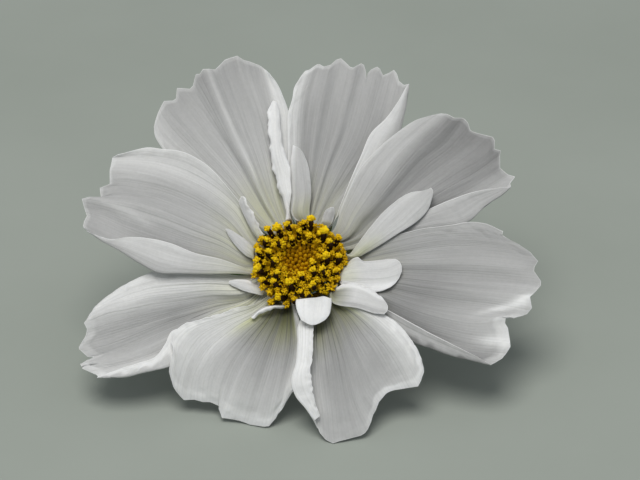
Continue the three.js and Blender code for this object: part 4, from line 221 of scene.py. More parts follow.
        [[5.81,-12.94,19.95],[7.43,-13.58,20.42],[10.26,-13.01,21.64],[12.66,-12.27,22.86],[14.8,-11.46,23.97],[16.79,-10.55,24.8],[18.52,-9.45,25.5],[19.75,-8.4,26.24],[20.53,-7.51,26.99],[20.89,-6.63,27.85]],
    ], [
        [0.0,18.76,-5.3,28.72], [1.0,19.61,-5.37,28.91], [2.0,20.82,-4.96,29.32], [2.516,21.16,-5.32,29.04], [3.0,21.16,-5.75,28.71], [3.56,21.06,-6.25,28.22],
        [4.0,20.89,-6.63,27.85],
    ]),
    ("extra_petal_5", [
        [[5.48,-13.62,19.35],[6.05,-14.74,19.67],[6.73,-14.5,20.44],[7.41,-14.44,21.1],[8.26,-14.65,21.44],[8.87,-14.88,20.91],[10.24,-14.77,20.74],[11.95,-14.62,20.85],[13.84,-14.54,21.02]],
        [[5.4,-14.11,19.0],[5.7,-15.51,19.37],[7.15,-15.58,20.06],[8.86,-15.6,20.28],[10.74,-15.61,20.4],[12.62,-15.55,20.56],[14.69,-14.71,21.03]],
        [[5.27,-14.6,18.66],[5.44,-16.18,18.9],[7.49,-16.54,19.38],[9.54,-16.71,19.5],[11.59,-16.73,19.62],[13.64,-16.59,19.83],[15.65,-15.69,20.34]],
        [[5.13,-15.0,18.38],[5.27,-16.83,18.32],[7.32,-17.47,18.36],[9.53,-17.95,18.39],[11.41,-18.12,18.52],[13.28,-17.99,18.73],[15.17,-17.51,19.07]],
        [[5.03,-15.24,18.22],[5.27,-17.33,17.73],[7.15,-18.02,17.49],[9.02,-18.85,17.4],[10.38,-19.28,17.46],[12.08,-19.25,17.61],[13.7,-18.8,18.17]],
    ], [
        [0.0,13.84,-14.54,21.02], [1.0,14.69,-14.71,21.03], [1.503,15.32,-15.09,20.76], [2.0,15.65,-15.69,20.34], [2.428,15.66,-16.5,19.77], [3.0,15.17,-17.51,19.07],
        [3.478,14.56,-18.21,18.58], [4.0,13.7,-18.8,18.17],
    ]),
    ("extra_petal_6", [
        [[4.67,-16.76,17.64],[4.75,-18.4,17.83],[5.68,-18.47,18.52],[6.79,-18.52,18.85],[8.15,-18.86,18.73],[9.51,-19.46,18.44],[10.87,-20.09,18.12],[12.21,-21.2,17.71]],
        [[4.23,-17.26,17.29],[4.57,-19.29,17.58],[5.93,-19.75,18.23],[7.63,-20.08,18.36],[9.49,-20.77,18.13],[11.35,-21.82,17.64],[12.87,-22.36,17.5]],
        [[3.73,-17.72,16.97],[4.31,-20.35,17.08],[5.92,-21.18,17.48],[7.79,-21.74,17.57],[9.82,-22.43,17.45],[11.5,-23.2,17.28],[13.19,-23.59,17.25]],
        [[3.26,-18.09,16.71],[4.02,-21.23,16.46],[5.41,-22.24,16.67],[7.1,-22.81,16.89],[9.13,-23.63,16.86],[10.81,-24.41,16.74],[12.49,-24.68,16.73]],
    ], [
        [0.0,12.21,-21.2,17.71], [1.0,12.87,-22.36,17.5], [1.573,13.13,-23.04,17.38], [2.0,13.19,-23.59,17.25], [2.47,13.01,-24.18,16.95], [3.0,12.49,-24.68,16.73],
    ]),
    ("extra_petal_7", [
        [[-0.3,-17.41,15.48],[2.18,-21.88,16.62],[3.59,-21.79,17.9],[3.64,-22.35,17.81],[3.54,-23.59,17.25],[3.2,-24.7,16.6],[2.52,-25.42,16.09]],
        [[-0.81,-17.5,15.42],[1.5,-22.07,16.97],[2.52,-21.88,18.33],[2.52,-22.34,18.31],[2.52,-23.4,17.75],[2.18,-24.91,16.76],[1.67,-25.99,15.88]],
        [[-1.32,-17.55,15.38],[0.31,-22.07,16.97],[0.83,-22.08,18.19],[0.83,-22.55,18.17],[0.66,-23.55,17.65],[0.49,-25.05,16.66],[0.49,-26.24,15.64]],
        [[-1.66,-17.56,15.37],[-0.53,-22.07,16.97],[-0.7,-22.17,18.12],[-0.7,-22.58,18.08],[-0.7,-23.51,17.61],[-0.69,-24.86,16.73],[-0.52,-25.98,15.76]],
        [[-2.0,-17.56,15.37],[-1.39,-22.02,16.52],[-2.35,-21.93,17.8],[-2.43,-22.44,17.75],[-2.39,-23.33,17.38],[-2.05,-24.48,16.75],[-1.54,-25.38,16.06]],
    ], [
        [0.0,2.52,-25.42,16.09], [1.0,1.67,-25.99,15.88], [1.59,1.0,-26.21,15.69], [2.0,0.49,-26.24,15.64], [2.479,-0.02,-26.19,15.65], [3.0,-0.52,-25.98,15.76],
        [4.0,-1.54,-25.38,16.06],
    ]),
    ("extra_petal_8", [
        [[-4.36,-18.99,15.11],[-4.64,-20.65,15.04],[-5.83,-20.88,15.12],[-7.2,-21.27,14.97],[-8.55,-21.86,14.56],[-9.57,-22.46,14.13]],
        [[-4.75,-18.87,15.19],[-4.47,-20.78,15.43],[-5.83,-20.95,15.56],[-7.36,-21.29,15.45],[-8.72,-21.83,15.06],[-9.91,-22.57,14.3]],
        [[-5.13,-18.73,15.28],[-4.81,-20.38,15.47],[-6.01,-20.52,15.62],[-7.54,-20.82,15.53],[-8.9,-21.3,15.07],[-10.08,-22.16,14.35]],
    ], [
        [0.0,-9.57,-22.46,14.13], [1.0,-9.91,-22.57,14.3], [2.0,-10.08,-22.16,14.35],
    ]),
    ("extra_petal_9", [
        [[-7.69,-16.4,15.81],[-8.11,-17.42,15.47],[-9.39,-17.53,15.76],[-10.85,-17.4,16.09],[-12.4,-16.88,16.45],[-13.43,-16.44,16.77]],
        [[-8.32,-15.69,16.31],[-8.63,-16.85,16.11],[-9.99,-16.79,16.64],[-11.54,-16.49,16.97],[-13.09,-16.21,17.17],[-14.04,-16.08,17.14]],
        [[-8.82,-14.92,16.86],[-9.07,-15.7,16.55],[-10.19,-15.56,17.02],[-11.39,-15.4,17.25],[-12.59,-15.42,17.3],[-13.53,-15.58,17.25]],
    ], [
        [0.0,-13.43,-16.44,16.77], [0.618,-13.86,-16.27,16.96], [1.0,-14.04,-16.08,17.14], [1.46,-13.87,-15.78,17.24], [2.0,-13.53,-15.58,17.25],
    ]),
    ("extra_petal_10", [
        [[-9.65,-13.4,18.71],[-9.86,-12.9,19.73],[-10.89,-12.73,20.28],[-12.1,-11.99,20.98],[-13.32,-10.88,21.88],[-14.11,-9.87,22.65]],
        [[-9.69,-12.5,19.34],[-9.86,-12.34,20.49],[-11.07,-11.63,21.36],[-12.28,-10.71,22.18],[-13.67,-9.7,22.95],[-14.64,-8.93,23.36]],
        [[-9.57,-11.6,19.97],[-9.71,-11.18,20.94],[-10.57,-10.62,21.7],[-11.61,-10.04,22.35],[-12.82,-9.45,22.88],[-13.68,-9.08,23.26]],
    ], [
        [0.0,-14.11,-9.87,22.65], [0.624,-14.46,-9.29,23.09], [1.0,-14.64,-8.93,23.36], [1.442,-14.2,-8.93,23.36], [2.0,-13.68,-9.08,23.26],
    ]),
    ("extra_petal_11", [
        [[-8.89,-9.89,21.17],[-9.12,-9.7,21.79],[-9.99,-8.8,22.85],[-10.86,-7.75,24.01],[-11.73,-6.5,25.25],[-12.34,-5.52,26.36]],
        [[-8.57,-9.4,21.51],[-8.77,-9.69,22.1],[-9.55,-8.85,23.3],[-10.42,-7.68,24.49],[-11.38,-6.19,25.77],[-12.2,-5.1,27.02]],
        [[-8.2,-8.94,21.84],[-8.42,-9.55,22.32],[-9.2,-8.71,23.52],[-10.07,-7.58,24.74],[-11.03,-6.09,26.02],[-11.94,-4.74,27.34]],
        [[-7.84,-8.56,22.1],[-8.0,-9.24,22.42],[-8.6,-8.54,23.51],[-9.38,-7.54,24.71],[-10.34,-6.2,25.89],[-11.48,-4.65,27.22]],
    ], [
        [0.0,-12.34,-5.52,26.36], [0.546,-12.3,-5.29,26.73], [1.0,-12.2,-5.1,27.02], [2.0,-11.94,-4.74,27.34], [3.0,-11.48,-4.65,27.22],
    ]),
]

# Disc florets in the head's own frame, across, up and out of the face: the tip, a point lower on
# the tube, the width of the tip, how bright it is (partly its own colour and partly painted light and shade, lit tips
# brighter and shaded ones darker), and its kind (open, closed, ring).
FLORETS = [
    (1.92, 6.36, 6.00, 1.91, 5.02, 4.65, 1.45, 1.00, "o"),
    (0.66, 6.04, 5.61, 0.71, 5.66, 4.26, 1.00, 0.55, "o"),
    (-3.94, 5.09, 5.45, -3.36, 4.22, 4.10, 1.70, 0.95, "o"),
    (-5.57, 5.00, 4.95, -4.64, 4.09, 3.60, 1.30, 0.80, "o"),
    (-2.29, 5.64, 5.61, -1.70, 4.71, 4.26, 1.35, 0.75, "o"),
    (-1.00, 5.28, 5.70, -0.86, 4.44, 4.50, 1.10, 0.45, "c"),
    (-0.06, 4.36, 5.70, -0.12, 3.87, 4.35, 1.10, 0.65, "o"),
    (4.08, 4.27, 5.70, 3.86, 3.13, 4.35, 1.70, 1.00, "o"),
    (3.86, 5.45, 5.34, 3.32, 4.58, 4.14, 1.20, 0.45, "c"),
    (1.64, 3.52, 5.70, 1.74, 3.35, 4.35, 1.30, 0.60, "o"),
    (5.11, 2.44, 5.70, 5.11, 1.56, 4.35, 1.25, 0.65, "o"),
    (6.64, 3.36, 4.95, 6.12, 2.75, 3.60, 1.30, 0.50, "o"),
    (3.72, 0.97, 5.70, 3.35, 0.77, 4.50, 1.00, 0.60, "c"),
    (4.49, -0.27, 5.70, 4.56, -1.17, 4.35, 1.70, 0.95, "o"),
    (6.72, -0.09, 5.31, 6.24, -0.94, 3.96, 1.40, 0.65, "o"),
    (7.58, 1.03, 4.81, 6.52, 0.79, 3.61, 1.10, 0.35, "c"),
    (7.92, -0.98, 4.59, 6.81, -0.95, 3.39, 1.20, 0.45, "c"),
    (3.86, -2.59, 5.70, 4.25, -3.31, 4.35, 1.10, 0.80, "o"),
    (4.91, -3.28, 5.70, 4.23, -2.92, 4.50, 1.10, 0.70, "c"),
    (2.27, -1.29, 5.70, 2.26, -1.53, 4.35, 1.20, 0.65, "o"),
    (2.22, -2.73, 5.70, 2.47, -3.28, 4.35, 1.25, 0.75, "o"),
    (0.31, -3.60, 5.70, 0.49, -4.06, 4.35, 1.25, 0.75, "o"),
    (-1.75, -4.99, 5.70, -1.15, -5.59, 4.35, 1.75, 1.00, "o"),
    (-0.73, -4.40, 5.70, -0.63, -3.88, 4.50, 1.10, 0.80, "c"),
    (-2.44, -3.49, 5.70, -2.10, -3.10, 4.50, 1.00, 0.60, "c"),
    (-3.96, -3.19, 5.70, -3.84, -3.78, 4.35, 1.25, 0.75, "o"),
    (-5.39, 0.62, 5.70, -5.12, 0.25, 4.35, 1.20, 0.75, "o"),
    (-7.06, 0.93, 5.09, -6.64, 0.52, 3.74, 1.20, 0.80, "o"),
    (-5.77, 2.84, 5.46, -5.72, 2.20, 4.11, 1.25, 0.85, "o"),
    (-6.81, 3.33, 4.88, -5.86, 2.76, 3.68, 1.20, 0.80, "c"),
    (-4.26, -0.92, 5.70, -4.46, -1.35, 4.35, 1.30, 0.65, "o"),
    (-7.29, -0.73, 4.97, -6.24, -1.17, 3.62, 1.25, 0.80, "o"),
    (-7.22, -2.16, 4.83, -5.97, -2.59, 3.48, 1.75, 0.95, "o"),
    (-7.94, -3.13, 4.24, -6.83, -2.79, 3.04, 1.20, 0.55, "c"),
    (-6.40, -4.17, 4.74, -5.47, -4.27, 3.39, 1.30, 0.65, "o"),
    (-6.45, -5.31, 4.28, -5.55, -4.67, 3.08, 1.30, 0.50, "c"),
    (-4.42, -4.73, 5.45, -3.51, -5.25, 4.10, 1.30, 0.80, "o"),
    (-3.62, -7.17, 4.42, -2.46, -6.71, 3.07, 1.40, 0.60, "o"),
    (-2.57, -6.43, 5.15, -2.21, -5.63, 3.95, 1.10, 0.60, "c"),
    (-2.30, -8.38, 3.97, -1.98, -7.31, 2.77, 1.20, 0.45, "c"),
    (-5.21, -6.25, 4.38, -4.48, -5.48, 3.18, 1.20, 0.55, "c"),
    (-4.99, -7.86, 3.80, -4.29, -6.86, 2.60, 1.20, 0.45, "c"),
    (2.20, -5.37, 5.70, 2.44, -5.52, 4.35, 1.20, 0.75, "o"),
    (0.50, -5.33, 5.70, 0.43, -4.69, 4.50, 1.10, 0.50, "c"),
    (5.34, -5.40, 4.73, 4.92, -5.01, 3.38, 1.30, 0.60, "r"),
    (3.89, -6.18, 4.91, 3.35, -5.41, 3.71, 1.10, 0.50, "c"),
    (0.14, -6.59, 5.37, 0.49, -6.76, 4.02, 1.10, 0.50, "o"),
    (1.33, -6.80, 5.14, 1.58, -6.77, 3.79, 1.10, 0.40, "o"),
    (-0.88, -7.66, 4.61, -0.73, -7.60, 3.26, 1.00, 0.45, "o"),
    (6.57, -3.95, 4.72, 5.65, -3.49, 3.52, 1.20, 0.45, "c"),
    (6.20, -2.73, 5.27, 5.95, -2.94, 3.92, 1.20, 0.60, "o"),
    (7.14, -1.83, 4.92, 6.14, -1.67, 3.72, 1.00, 0.45, "c"),
    (5.43, -2.08, 5.70, 4.67, -1.89, 4.50, 1.00, 0.60, "c"),
    (-3.08, 2.13, 5.70, -3.68, 1.85, 4.35, 1.20, 0.65, "o"),
    (-1.41, 3.08, 5.70, -1.25, 2.73, 4.35, 1.15, 0.55, "o"),
    (2.85, -4.40, 5.70, 2.45, -3.88, 4.50, 1.00, 0.60, "c"),
    (1.52, -4.14, 5.70, 1.31, -3.66, 4.50, 1.00, 0.55, "c"),
    (-1.04, -3.20, 5.70, -0.94, -2.98, 4.50, 0.95, 0.50, "c"),
    (-4.52, 1.99, 5.70, -3.89, 1.61, 4.50, 1.10, 0.70, "c"),
    (-1.79, 4.03, 5.70, -1.54, 3.37, 4.50, 0.90, 0.55, "c"),
    (3.19, 2.61, 5.70, 2.74, 2.14, 4.50, 1.00, 0.50, "c"),
    (5.76, 0.35, 5.70, 4.95, 0.20, 4.50, 1.00, 0.45, "c"),
    (3.22, -0.12, 5.70, 2.90, -0.21, 4.50, 1.00, 0.55, "c"),
    (-6.11, -1.24, 5.57, -5.26, -1.17, 4.37, 1.00, 0.60, "c"),
    (-2.68, -2.48, 5.70, -2.42, -2.33, 4.50, 0.90, 0.45, "c"),
    (1.08, -6.08, 5.65, 0.93, -5.32, 4.45, 1.00, 0.50, "c"),
    (-1.38, -7.00, 5.00, -1.18, -6.12, 3.80, 1.00, 0.50, "c"),
    (-3.87, -6.09, 4.96, -3.33, -5.34, 3.76, 1.00, 0.50, "c"),
    (5.44, -4.25, 5.18, 4.68, -3.76, 3.98, 1.00, 0.50, "c"),
    (7.85, -0.09, 4.68, 6.75, -0.18, 3.48, 1.00, 0.40, "c"),
    (7.14, 2.00, 4.95, 6.14, 1.62, 3.75, 1.10, 0.45, "c"),
    (5.49, 4.00, 5.28, 4.72, 3.34, 4.08, 1.10, 0.45, "c"),
    (2.74, 5.59, 5.55, 2.36, 4.71, 4.35, 1.00, 0.40, "c"),
    (-7.53, 2.08, 4.75, -6.47, 1.69, 3.55, 1.10, 0.60, "c"),
]



def to_world(p):
    p = np.asarray(p, float)
    return CENTRE + p[..., 0:1] * SIDE + p[..., 1:2] * UP + p[..., 2:3] * AXIS


# ------------------------------------------------------------------------------------------------
# seeded smooth noise
# ------------------------------------------------------------------------------------------------
def _hash(ix, iy, seed):
    h = (ix.astype(np.int64) * 374761393 + iy.astype(np.int64) * 668265263 + int(seed) * 2147483647) & 0xFFFFFFFF
    h = ((h ^ (h >> 13)) * 1274126177) & 0xFFFFFFFF
    h = (h ^ (h >> 16)) & 0xFFFFFFFF
    h = (h * 2246822519) & 0xFFFFFFFF
    return ((h ^ (h >> 15)) & 0xFFFFFF) / float(0xFFFFFF) * 2.0 - 1.0


def noise2(x, y, seed):
    x, y = np.broadcast_arrays(np.asarray(x, float), np.asarray(y, float))
    x0, y0 = np.floor(x), np.floor(y)
    fx, fy = x - x0, y - y0
    sx = fx * fx * fx * (fx * (fx * 6 - 15) + 10)
    sy = fy * fy * fy * (fy * (fy * 6 - 15) + 10)
    a, b = _hash(x0, y0, seed), _hash(x0 + 1, y0, seed)
    c, d = _hash(x0, y0 + 1, seed), _hash(x0 + 1, y0 + 1, seed)
    return (a * (1 - sx) + b * sx) * (1 - sy) + (c * (1 - sx) + d * sx) * sy


def smooth(a, b, x):
    t = np.clip((np.asarray(x, float) - a) / (b - a), 0, 1)
    return t * t * (3 - 2 * t)


# ------------------------------------------------------------------------------------------------
# meshes
# ------------------------------------------------------------------------------------------------
class Build:
    """Vertices, faces, a UV pair and a few named values for each vertex, and a material number for each face."""

    def __init__(self):
        self.v, self.f, self.uv, self.m, self.a = [], [], [], [], {}
        self.n = 0

    def add(self, verts, faces, uv=None, material=0, **values):
        verts = np.asarray(verts, float).reshape(-1, 3)
        k = len(verts)
        self.v.append(verts)
        self.uv.append(np.zeros((k, 2)) if uv is None else np.asarray(uv, float).reshape(-1, 2))
        for q in faces:
            self.f.append(np.asarray(q) + self.n)
            self.m.append(np.full(len(q), material))
        for name, value in values.items():
            self.a.setdefault(name, []).append((self.n, np.asarray(value, float)))
        self.n += k

    def make(self, name, materials, slot=None, stands_for=(), flip=None):
        verts = np.concatenate(self.v)
        uv = np.concatenate(self.uv)
        counts = np.concatenate([np.full(len(q), q.shape[1]) for q in self.f])
        loops = np.concatenate([q.reshape(-1) for q in self.f])
        mats = np.concatenate(self.m)
        starts = np.concatenate([[0], np.cumsum(counts)[:-1]])
        me = bpy.data.meshes.new(name)
        me.vertices.add(len(verts))
        me.vertices.foreach_set("co", (verts * MM).astype(np.float32).ravel())
        me.loops.add(len(loops))
        me.loops.foreach_set("vertex_index", loops.astype(np.int32))
        me.polygons.add(len(counts))
        me.polygons.foreach_set("loop_start", starts.astype(np.int32))
        me.polygons.foreach_set("loop_total", counts.astype(np.int32))
        me.polygons.foreach_set("material_index", mats.astype(np.int32))
        me.polygons.foreach_set("use_smooth", np.ones(len(counts), bool))
        layer = me.uv_layers.new(name="UVMap")
        layer.data.foreach_set("uv", uv[loops].astype(np.float32).ravel())
        for key, parts in self.a.items():
            width = 1 if parts[0][1].ndim == 1 else 3
            full = np.zeros((len(verts), width))
            for at, value in parts:
                full[at:at + len(value)] = value.reshape(-1, width)
            if width == 1:
                me.attributes.new(key, "FLOAT", "POINT").data.foreach_set("value", full.astype(np.float32).ravel())
            else:
                me.attributes.new(key, "FLOAT_VECTOR", "POINT").data.foreach_set("vector", full.astype(np.float32).ravel())
        me.update(calc_edges=True)
        me.validate()
        for m in materials:
            me.materials.append(m)
        o = bpy.data.objects.new(name, me)
        bpy.context.scene.collection.objects.link(o)
        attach(o, "root")
        if stands_for:
            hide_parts(*stands_for)
        return o


def volume(verts, quads):
    a, b, c, d = (verts[quads[:, k]] for k in range(4))
    return float((np.einsum("ij,ij->i", a, np.cross(b, c)) + np.einsum("ij,ij->i", a, np.cross(c, d))).sum())


def grid_normals(g):
    du = np.gradient(g, axis=0)
    dv = np.gradient(g, axis=1)
    n = np.cross(dv, du)
    n /= np.maximum(np.linalg.norm(n, axis=2, keepdims=True), 1e-9)
    return n


def sheet(build, g, thick, uv, values, material=0, face=AXIS):
    """A closed thin blade from its middle surface g (rows, columns, 3) and its thickness at each point."""
    n = grid_normals(g)
    if (n.reshape(-1, 3) @ face).mean() < 0:
        n = -n
    r, c = g.shape[:2]
    top = (g + n * thick[..., None] / 2).reshape(-1, 3)
    low = (g - n * thick[..., None] / 2).reshape(-1, 3)
    verts = np.concatenate([top, low])
    i, j = np.meshgrid(np.arange(r - 1), np.arange(c - 1), indexing="ij")
    a, b = (i * c + j).ravel(), (i * c + j + 1).ravel()
    d, e = ((i + 1) * c + j + 1).ravel(), ((i + 1) * c + j).ravel()
    upper = np.stack([a, b, d, e], 1)
    lower = np.stack([a, e, d, b], 1) + r * c
    rim = np.concatenate([
        np.arange(c), np.arange(1, r) * c + c - 1, (r - 1) * c + np.arange(c - 2, -1, -1), np.arange(r - 2, 0, -1) * c,
    ])
    nxt = np.roll(rim, -1)
    wall = np.stack([rim, rim + r * c, nxt + r * c, nxt], 1)
    quads = np.concatenate([upper, lower, wall])
    if volume(verts - verts.mean(0), quads) < 0:
        quads = quads[:, ::-1]
    build.add(verts, [quads], np.concatenate([uv.reshape(-1, 2)] * 2), material,
              **{k: np.concatenate([v.reshape(r * c, -1).squeeze()] * 2) for k, v in values.items()})
    return n


def sweep(build, rings, uv=None, material=0, **values):
    """A closed body through rings (count, sides, 3), with a point cap at both ends."""
    rings = np.asarray(rings, float)
    k, s = rings.shape[:2]
    verts = np.concatenate([rings.reshape(-1, 3), rings[0].mean(0)[None], rings[-1].mean(0)[None]])
    i, j = np.meshgrid(np.arange(k - 1), np.arange(s), indexing="ij")
    m = (j + 1) % s
    quads = np.stack([(i * s + j), (i * s + m), ((i + 1) * s + m), ((i + 1) * s + j)], 2).reshape(-1, 4)
    q = np.arange(s)
    w = (q + 1) % s
    tri0 = np.stack([np.full(s, k * s), w, q], 1)
    tri1 = np.stack([np.full(s, k * s + 1), (k - 1) * s + q, (k - 1) * s + w], 1)
    if volume(verts - verts.mean(0), quads) < 0:
        quads, tri0, tri1 = quads[:, ::-1], tri0[:, ::-1], tri1[:, ::-1]
    if uv is None:
        uu, vv = np.meshgrid(np.arange(s) / s, np.linspace(0, 1, k))
        uv = np.concatenate([np.stack([uu, vv], 2).reshape(-1, 2), [[0.5, 0], [0.5, 1]]])
    full = {}
    for key, value in values.items():
        value = np.asarray(value, float)
        if value.ndim == 0:
            full[key] = np.full(len(verts), float(value))
        else:
            full[key] = np.concatenate([np.repeat(value, s), value[:1], value[-1:]])
    build.add(verts, [quads, np.concatenate([tri0, tri1])], uv, material, **full)


# ------------------------------------------------------------------------------------------------
# blades from their ribs, as the construction makes them
# ------------------------------------------------------------------------------------------------
def crom(t, K, P):
    K, P = np.asarray(K, float), np.asarray(P, float)
    n = len(K)
    T = np.zeros_like(P)
    T[0] = (P[1] - P[0]) / (K[1] - K[0])
    T[-1] = (P[-1] - P[-2]) / (K[-1] - K[-2])
    for i in range(1, n - 1):
        h0, h1 = K[i] - K[i - 1], K[i + 1] - K[i]
        T[i] = ((P[i] - P[i - 1]) / h0 * h1 + (P[i + 1] - P[i]) / h1 * h0) / (h0 + h1)
    t = np.atleast_1d(t)
    j = np.clip(np.searchsorted(K, t, side="right") - 1, 0, n - 2)
    h = K[j + 1] - K[j]
    s = ((t - K[j]) / h)[:, None]
    h = h[:, None]
    return (2 * s**3 - 3 * s**2 + 1) * P[j] + (s**3 - 2 * s**2 + s) * h * T[j] + (-2 * s**3 + 3 * s**2) * P[j + 1] + (s**3 - s**2) * h * T[j + 1]


def chord(P):
    d = np.linalg.norm(np.diff(P, axis=0), axis=1)
    k = np.concatenate([[0], np.cumsum(d)])
    return k / k[-1]


def blade(rails, tip, us, per_mm):
    """Points of the blade's middle surface, and for each column its place across in mm."""
    ribs = [np.array(r, float) for r in rails]
    tip = np.array(tip, float)
    n = len(ribs)
    uu = np.linspace(0.25, 1, 12)
    Q = np.array([crom(uu, chord(r), r) for r in ribs])
    d = np.linalg.norm(np.diff(Q, axis=0), axis=2).mean(1)
    K = np.concatenate([[0], np.cumsum(np.maximum(d, 0.3))])
    # columns: one on each point of the outer edge's line, with even ones between
    marks = np.unique(np.round(np.concatenate([tip[:, 0], np.arange(n)]), 4))
    mk = np.interp(marks, np.arange(n), K)
    cols = [0.0]
    for a, b in zip(mk[:-1], mk[1:]):
        c = max(1, int(round((b - a) * per_mm)))
        cols += list(a + (b - a) * np.arange(1, c + 1) / c)
    tk = np.array(cols)
    vs = np.interp(tk, K, np.arange(n))
    R = np.array([crom(us, chord(r), r) for r in ribs])
    out = np.zeros((len(us), len(tk), 3))
    for i in range(len(us)):
        out[i] = crom(tk, K, R[:, i])
    E = np.stack([np.interp(vs, tip[:, 0], tip[:, c]) for c in (1, 2, 3)], -1)
    S1 = crom(tk, K, np.array([r[-1] for r in ribs]))
    w = np.clip((us - 0.72) / 0.28, 0, 1) ** 2
    out += w[:, None, None] * (E - S1)[None]
    return out, tk


# how each ray petal looks: greenness and painted shade at the foot, dark veins, depth of the pleats, crinkling of the
# tip, seed
LOOKS = {
    "ray_petal_1": (0.45, 0.30, 0.85, 0.7, 11),
    "ray_petal_2": (0.20, 0.30, 1.9, 0.7, 12),
    "ray_petal_3": (0.20, 0.25, 0.75, 0.7, 13),
    "ray_petal_4": (0.20, 0.55, 0.85, 1.2, 14),
    "ray_petal_5": (0.95, 1.00, 0.95, 1.0, 15),
    "ray_petal_6": (1.00, 0.95, 0.95, 1.2, 16),
    "ray_petal_7": (0.45, 0.80, 1.00, 1.6, 17),
    "ray_petal_8": (0.42, 0.35, 0.70, 0.6, 18),
}
# thicker, whiter tissue and a painted highlight near the outline, where the folded margins catch the light: width in
# mm, amount at five places from the first margin to the last
RIM_WHITE_AND_HIGHLIGHT = {
    "ray_petal_1": (0.8, (0.30, 0.20, 0.10, 0.15, 0.20)),
    "ray_petal_2": (0.8, (0.50, 0.20, 0.10, 0.20, 0.20)),
    "ray_petal_3": (0.7, (0.20, 0.15, 0.10, 0.10, 0.15)),
    "ray_petal_4": (2.2, (0.00, 0.00, 0.10, 0.50, 0.30)),
    "ray_petal_5": (1.5, (0.95, 0.75, 0.12, 0.08, 0.35)),
    "ray_petal_6": (2.2, (0.70, 0.60, 0.40, 0.30, 0.40)),
    "ray_petal_7": (2.0, (0.90, 0.30, 0.20, 0.30, 0.30)),
    "ray_petal_8": (0.7, (0.20, 0.20, 0.20, 0.20, 0.20)),
}
# creases that run along a petal, with painted light on their ridges and painted shade in their valleys:
# place across at its start and its end, start and end along, half width and height in mm, painted light (negative for
# painted shade)
CREASES_AND_PAINTED_LIGHT = {
    "ray_petal_1": [
        (0.515, 0.515, 0.28, 1.0, 0.42, 0.11, 0.20),
        (0.465, 0.465, 0.55, 1.0, 0.70, -0.04, -0.07),
        (0.80, 0.75, 0.60, 1.0, 0.80, 0.06, 0.10),
        (0.71, 0.68, 0.62, 1.0, 0.55, -0.05, -0.07),
        (0.20, 0.17, 0.70, 1.0, 0.60, 0.05, 0.07),
    ],
    "ray_petal_3": [
        (0.13, 0.17, 0.45, 1.0, 0.75, 0.03, 0.13),
        (0.225, 0.235, 0.35, 1.0, 0.40, -0.01, -0.04),
        (0.33, 0.34, 0.55, 1.0, 0.30, 0.03, 0.05),
        (0.45, 0.47, 0.55, 1.0, 0.40, 0.05, 0.06),
        (0.60, 0.64, 0.60, 1.0, 0.45, 0.05, 0.06),
    ],
    "ray_petal_4": [
        (0.63, 0.47, 0.76, 1.0, 1.05, 0.05, 0.55),
        (0.78, 0.77, 0.79, 1.0, 0.75, 0.05, 0.45),
        (0.40, 0.38, 0.60, 1.0, 0.50, -0.05, -0.08),
    ],
    "ray_petal_5": [
        (0.73, 0.69, 0.26, 0.84, 1.30, 0.0, 0.20),
        (0.06, 0.06, 0.45, 0.85, 0.80, 0.02, 0.10),
    ],
    "ray_petal_8": [
        (0.42, 0.52, 0.58, 0.97, 1.00, 0.14, 0.19),
        (0.58, 0.70, 0.68, 1.0, 0.45, -0.03, -0.04),
    ],
}
# how far a margin is torn and crinkled, in mm: first margin, last margin
TORN = {
    "extra_petal_1": (0.30, 0.12),
    "extra_petal_11": (0.0, 0.30),
    "extra_petal_6": (0.12, 0.05),
    "extra_petal_8": (0.10, 0.05),
    "ray_petal_5": (0.05, 0.16),
    "ray_petal_6": (0.05, 0.14),
}
VEIN_SPACING = 1.30
VEIN_SPACING_EXTRA = 0.80
# tissue tone, partly its own whiteness and partly painted shade and light (greyer where shaded, whiter where light
# falls on the folds): foot, middle, tip, first margin, its width, last margin, its width
TONES_AND_SHADE = {
    "ray_petal_1": (0.75, 0.65, 0.50, 0.70, 0.20, 0.95, 0.15),
    "ray_petal_2": (0.60, 0.50, 0.55, 0.85, 0.15, 0.90, 0.10),
    "ray_petal_3": (0.50, 0.45, 0.33, 0.64, 0.25, 0.60, 0.45),
    "ray_petal_4": (0.40, 0.40, 0.70, 0.55, 0.50, 0.35, 0.25),
    "ray_petal_5": (0.20, 0.45, 0.70, 0.90, 0.25, 1.15, 0.30),
    "ray_petal_6": (0.18, 0.45, 1.00, 1.15, 0.15, 0.95, 0.45),
    "ray_petal_7": (0.90, 0.50, 0.60, 0.80, 0.50, 0.90, 0.40),
    "ray_petal_8": (0.75, 0.60, 0.55, 0.80, 0.15, 0.80, 0.28),
    "extra_petal_1": (1.15, 0.90, 1.00, 1.15, 0.35, 1.00, 0.35),
    "extra_petal_2": (0.65, 0.65, 0.65, 1.05, 0.35, 0.70, 0.35),
    "extra_petal_3": (0.65, 0.62, 0.60, 0.65, 0.35, 0.60, 0.35),
    "extra_petal_4": (0.80, 0.70, 0.65, 0.75, 0.35, 0.75, 0.35),
    "extra_petal_5": (0.90, 0.85, 0.80, 0.85, 0.35, 1.15, 0.35),
    "extra_petal_6": (0.30, 0.85, 0.75, 1.05, 0.35, 0.60, 0.35),
    "extra_petal_7": (1.15, 0.90, 1.10, 1.15, 0.35, 1.10, 0.35),
    "extra_petal_8": (0.30, 1.15, 1.10, 1.10, 0.35, 0.55, 0.35),
    "extra_petal_9": (0.95, 0.85, 0.85, 0.90, 0.35, 1.10, 0.35),
    "extra_petal_10": (0.75, 0.75, 0.70, 0.65, 0.35, 0.80, 0.35),
    "extra_petal_11": (0.80, 0.75, 0.70, 0.70, 0.35, 1.05, 0.25),
}


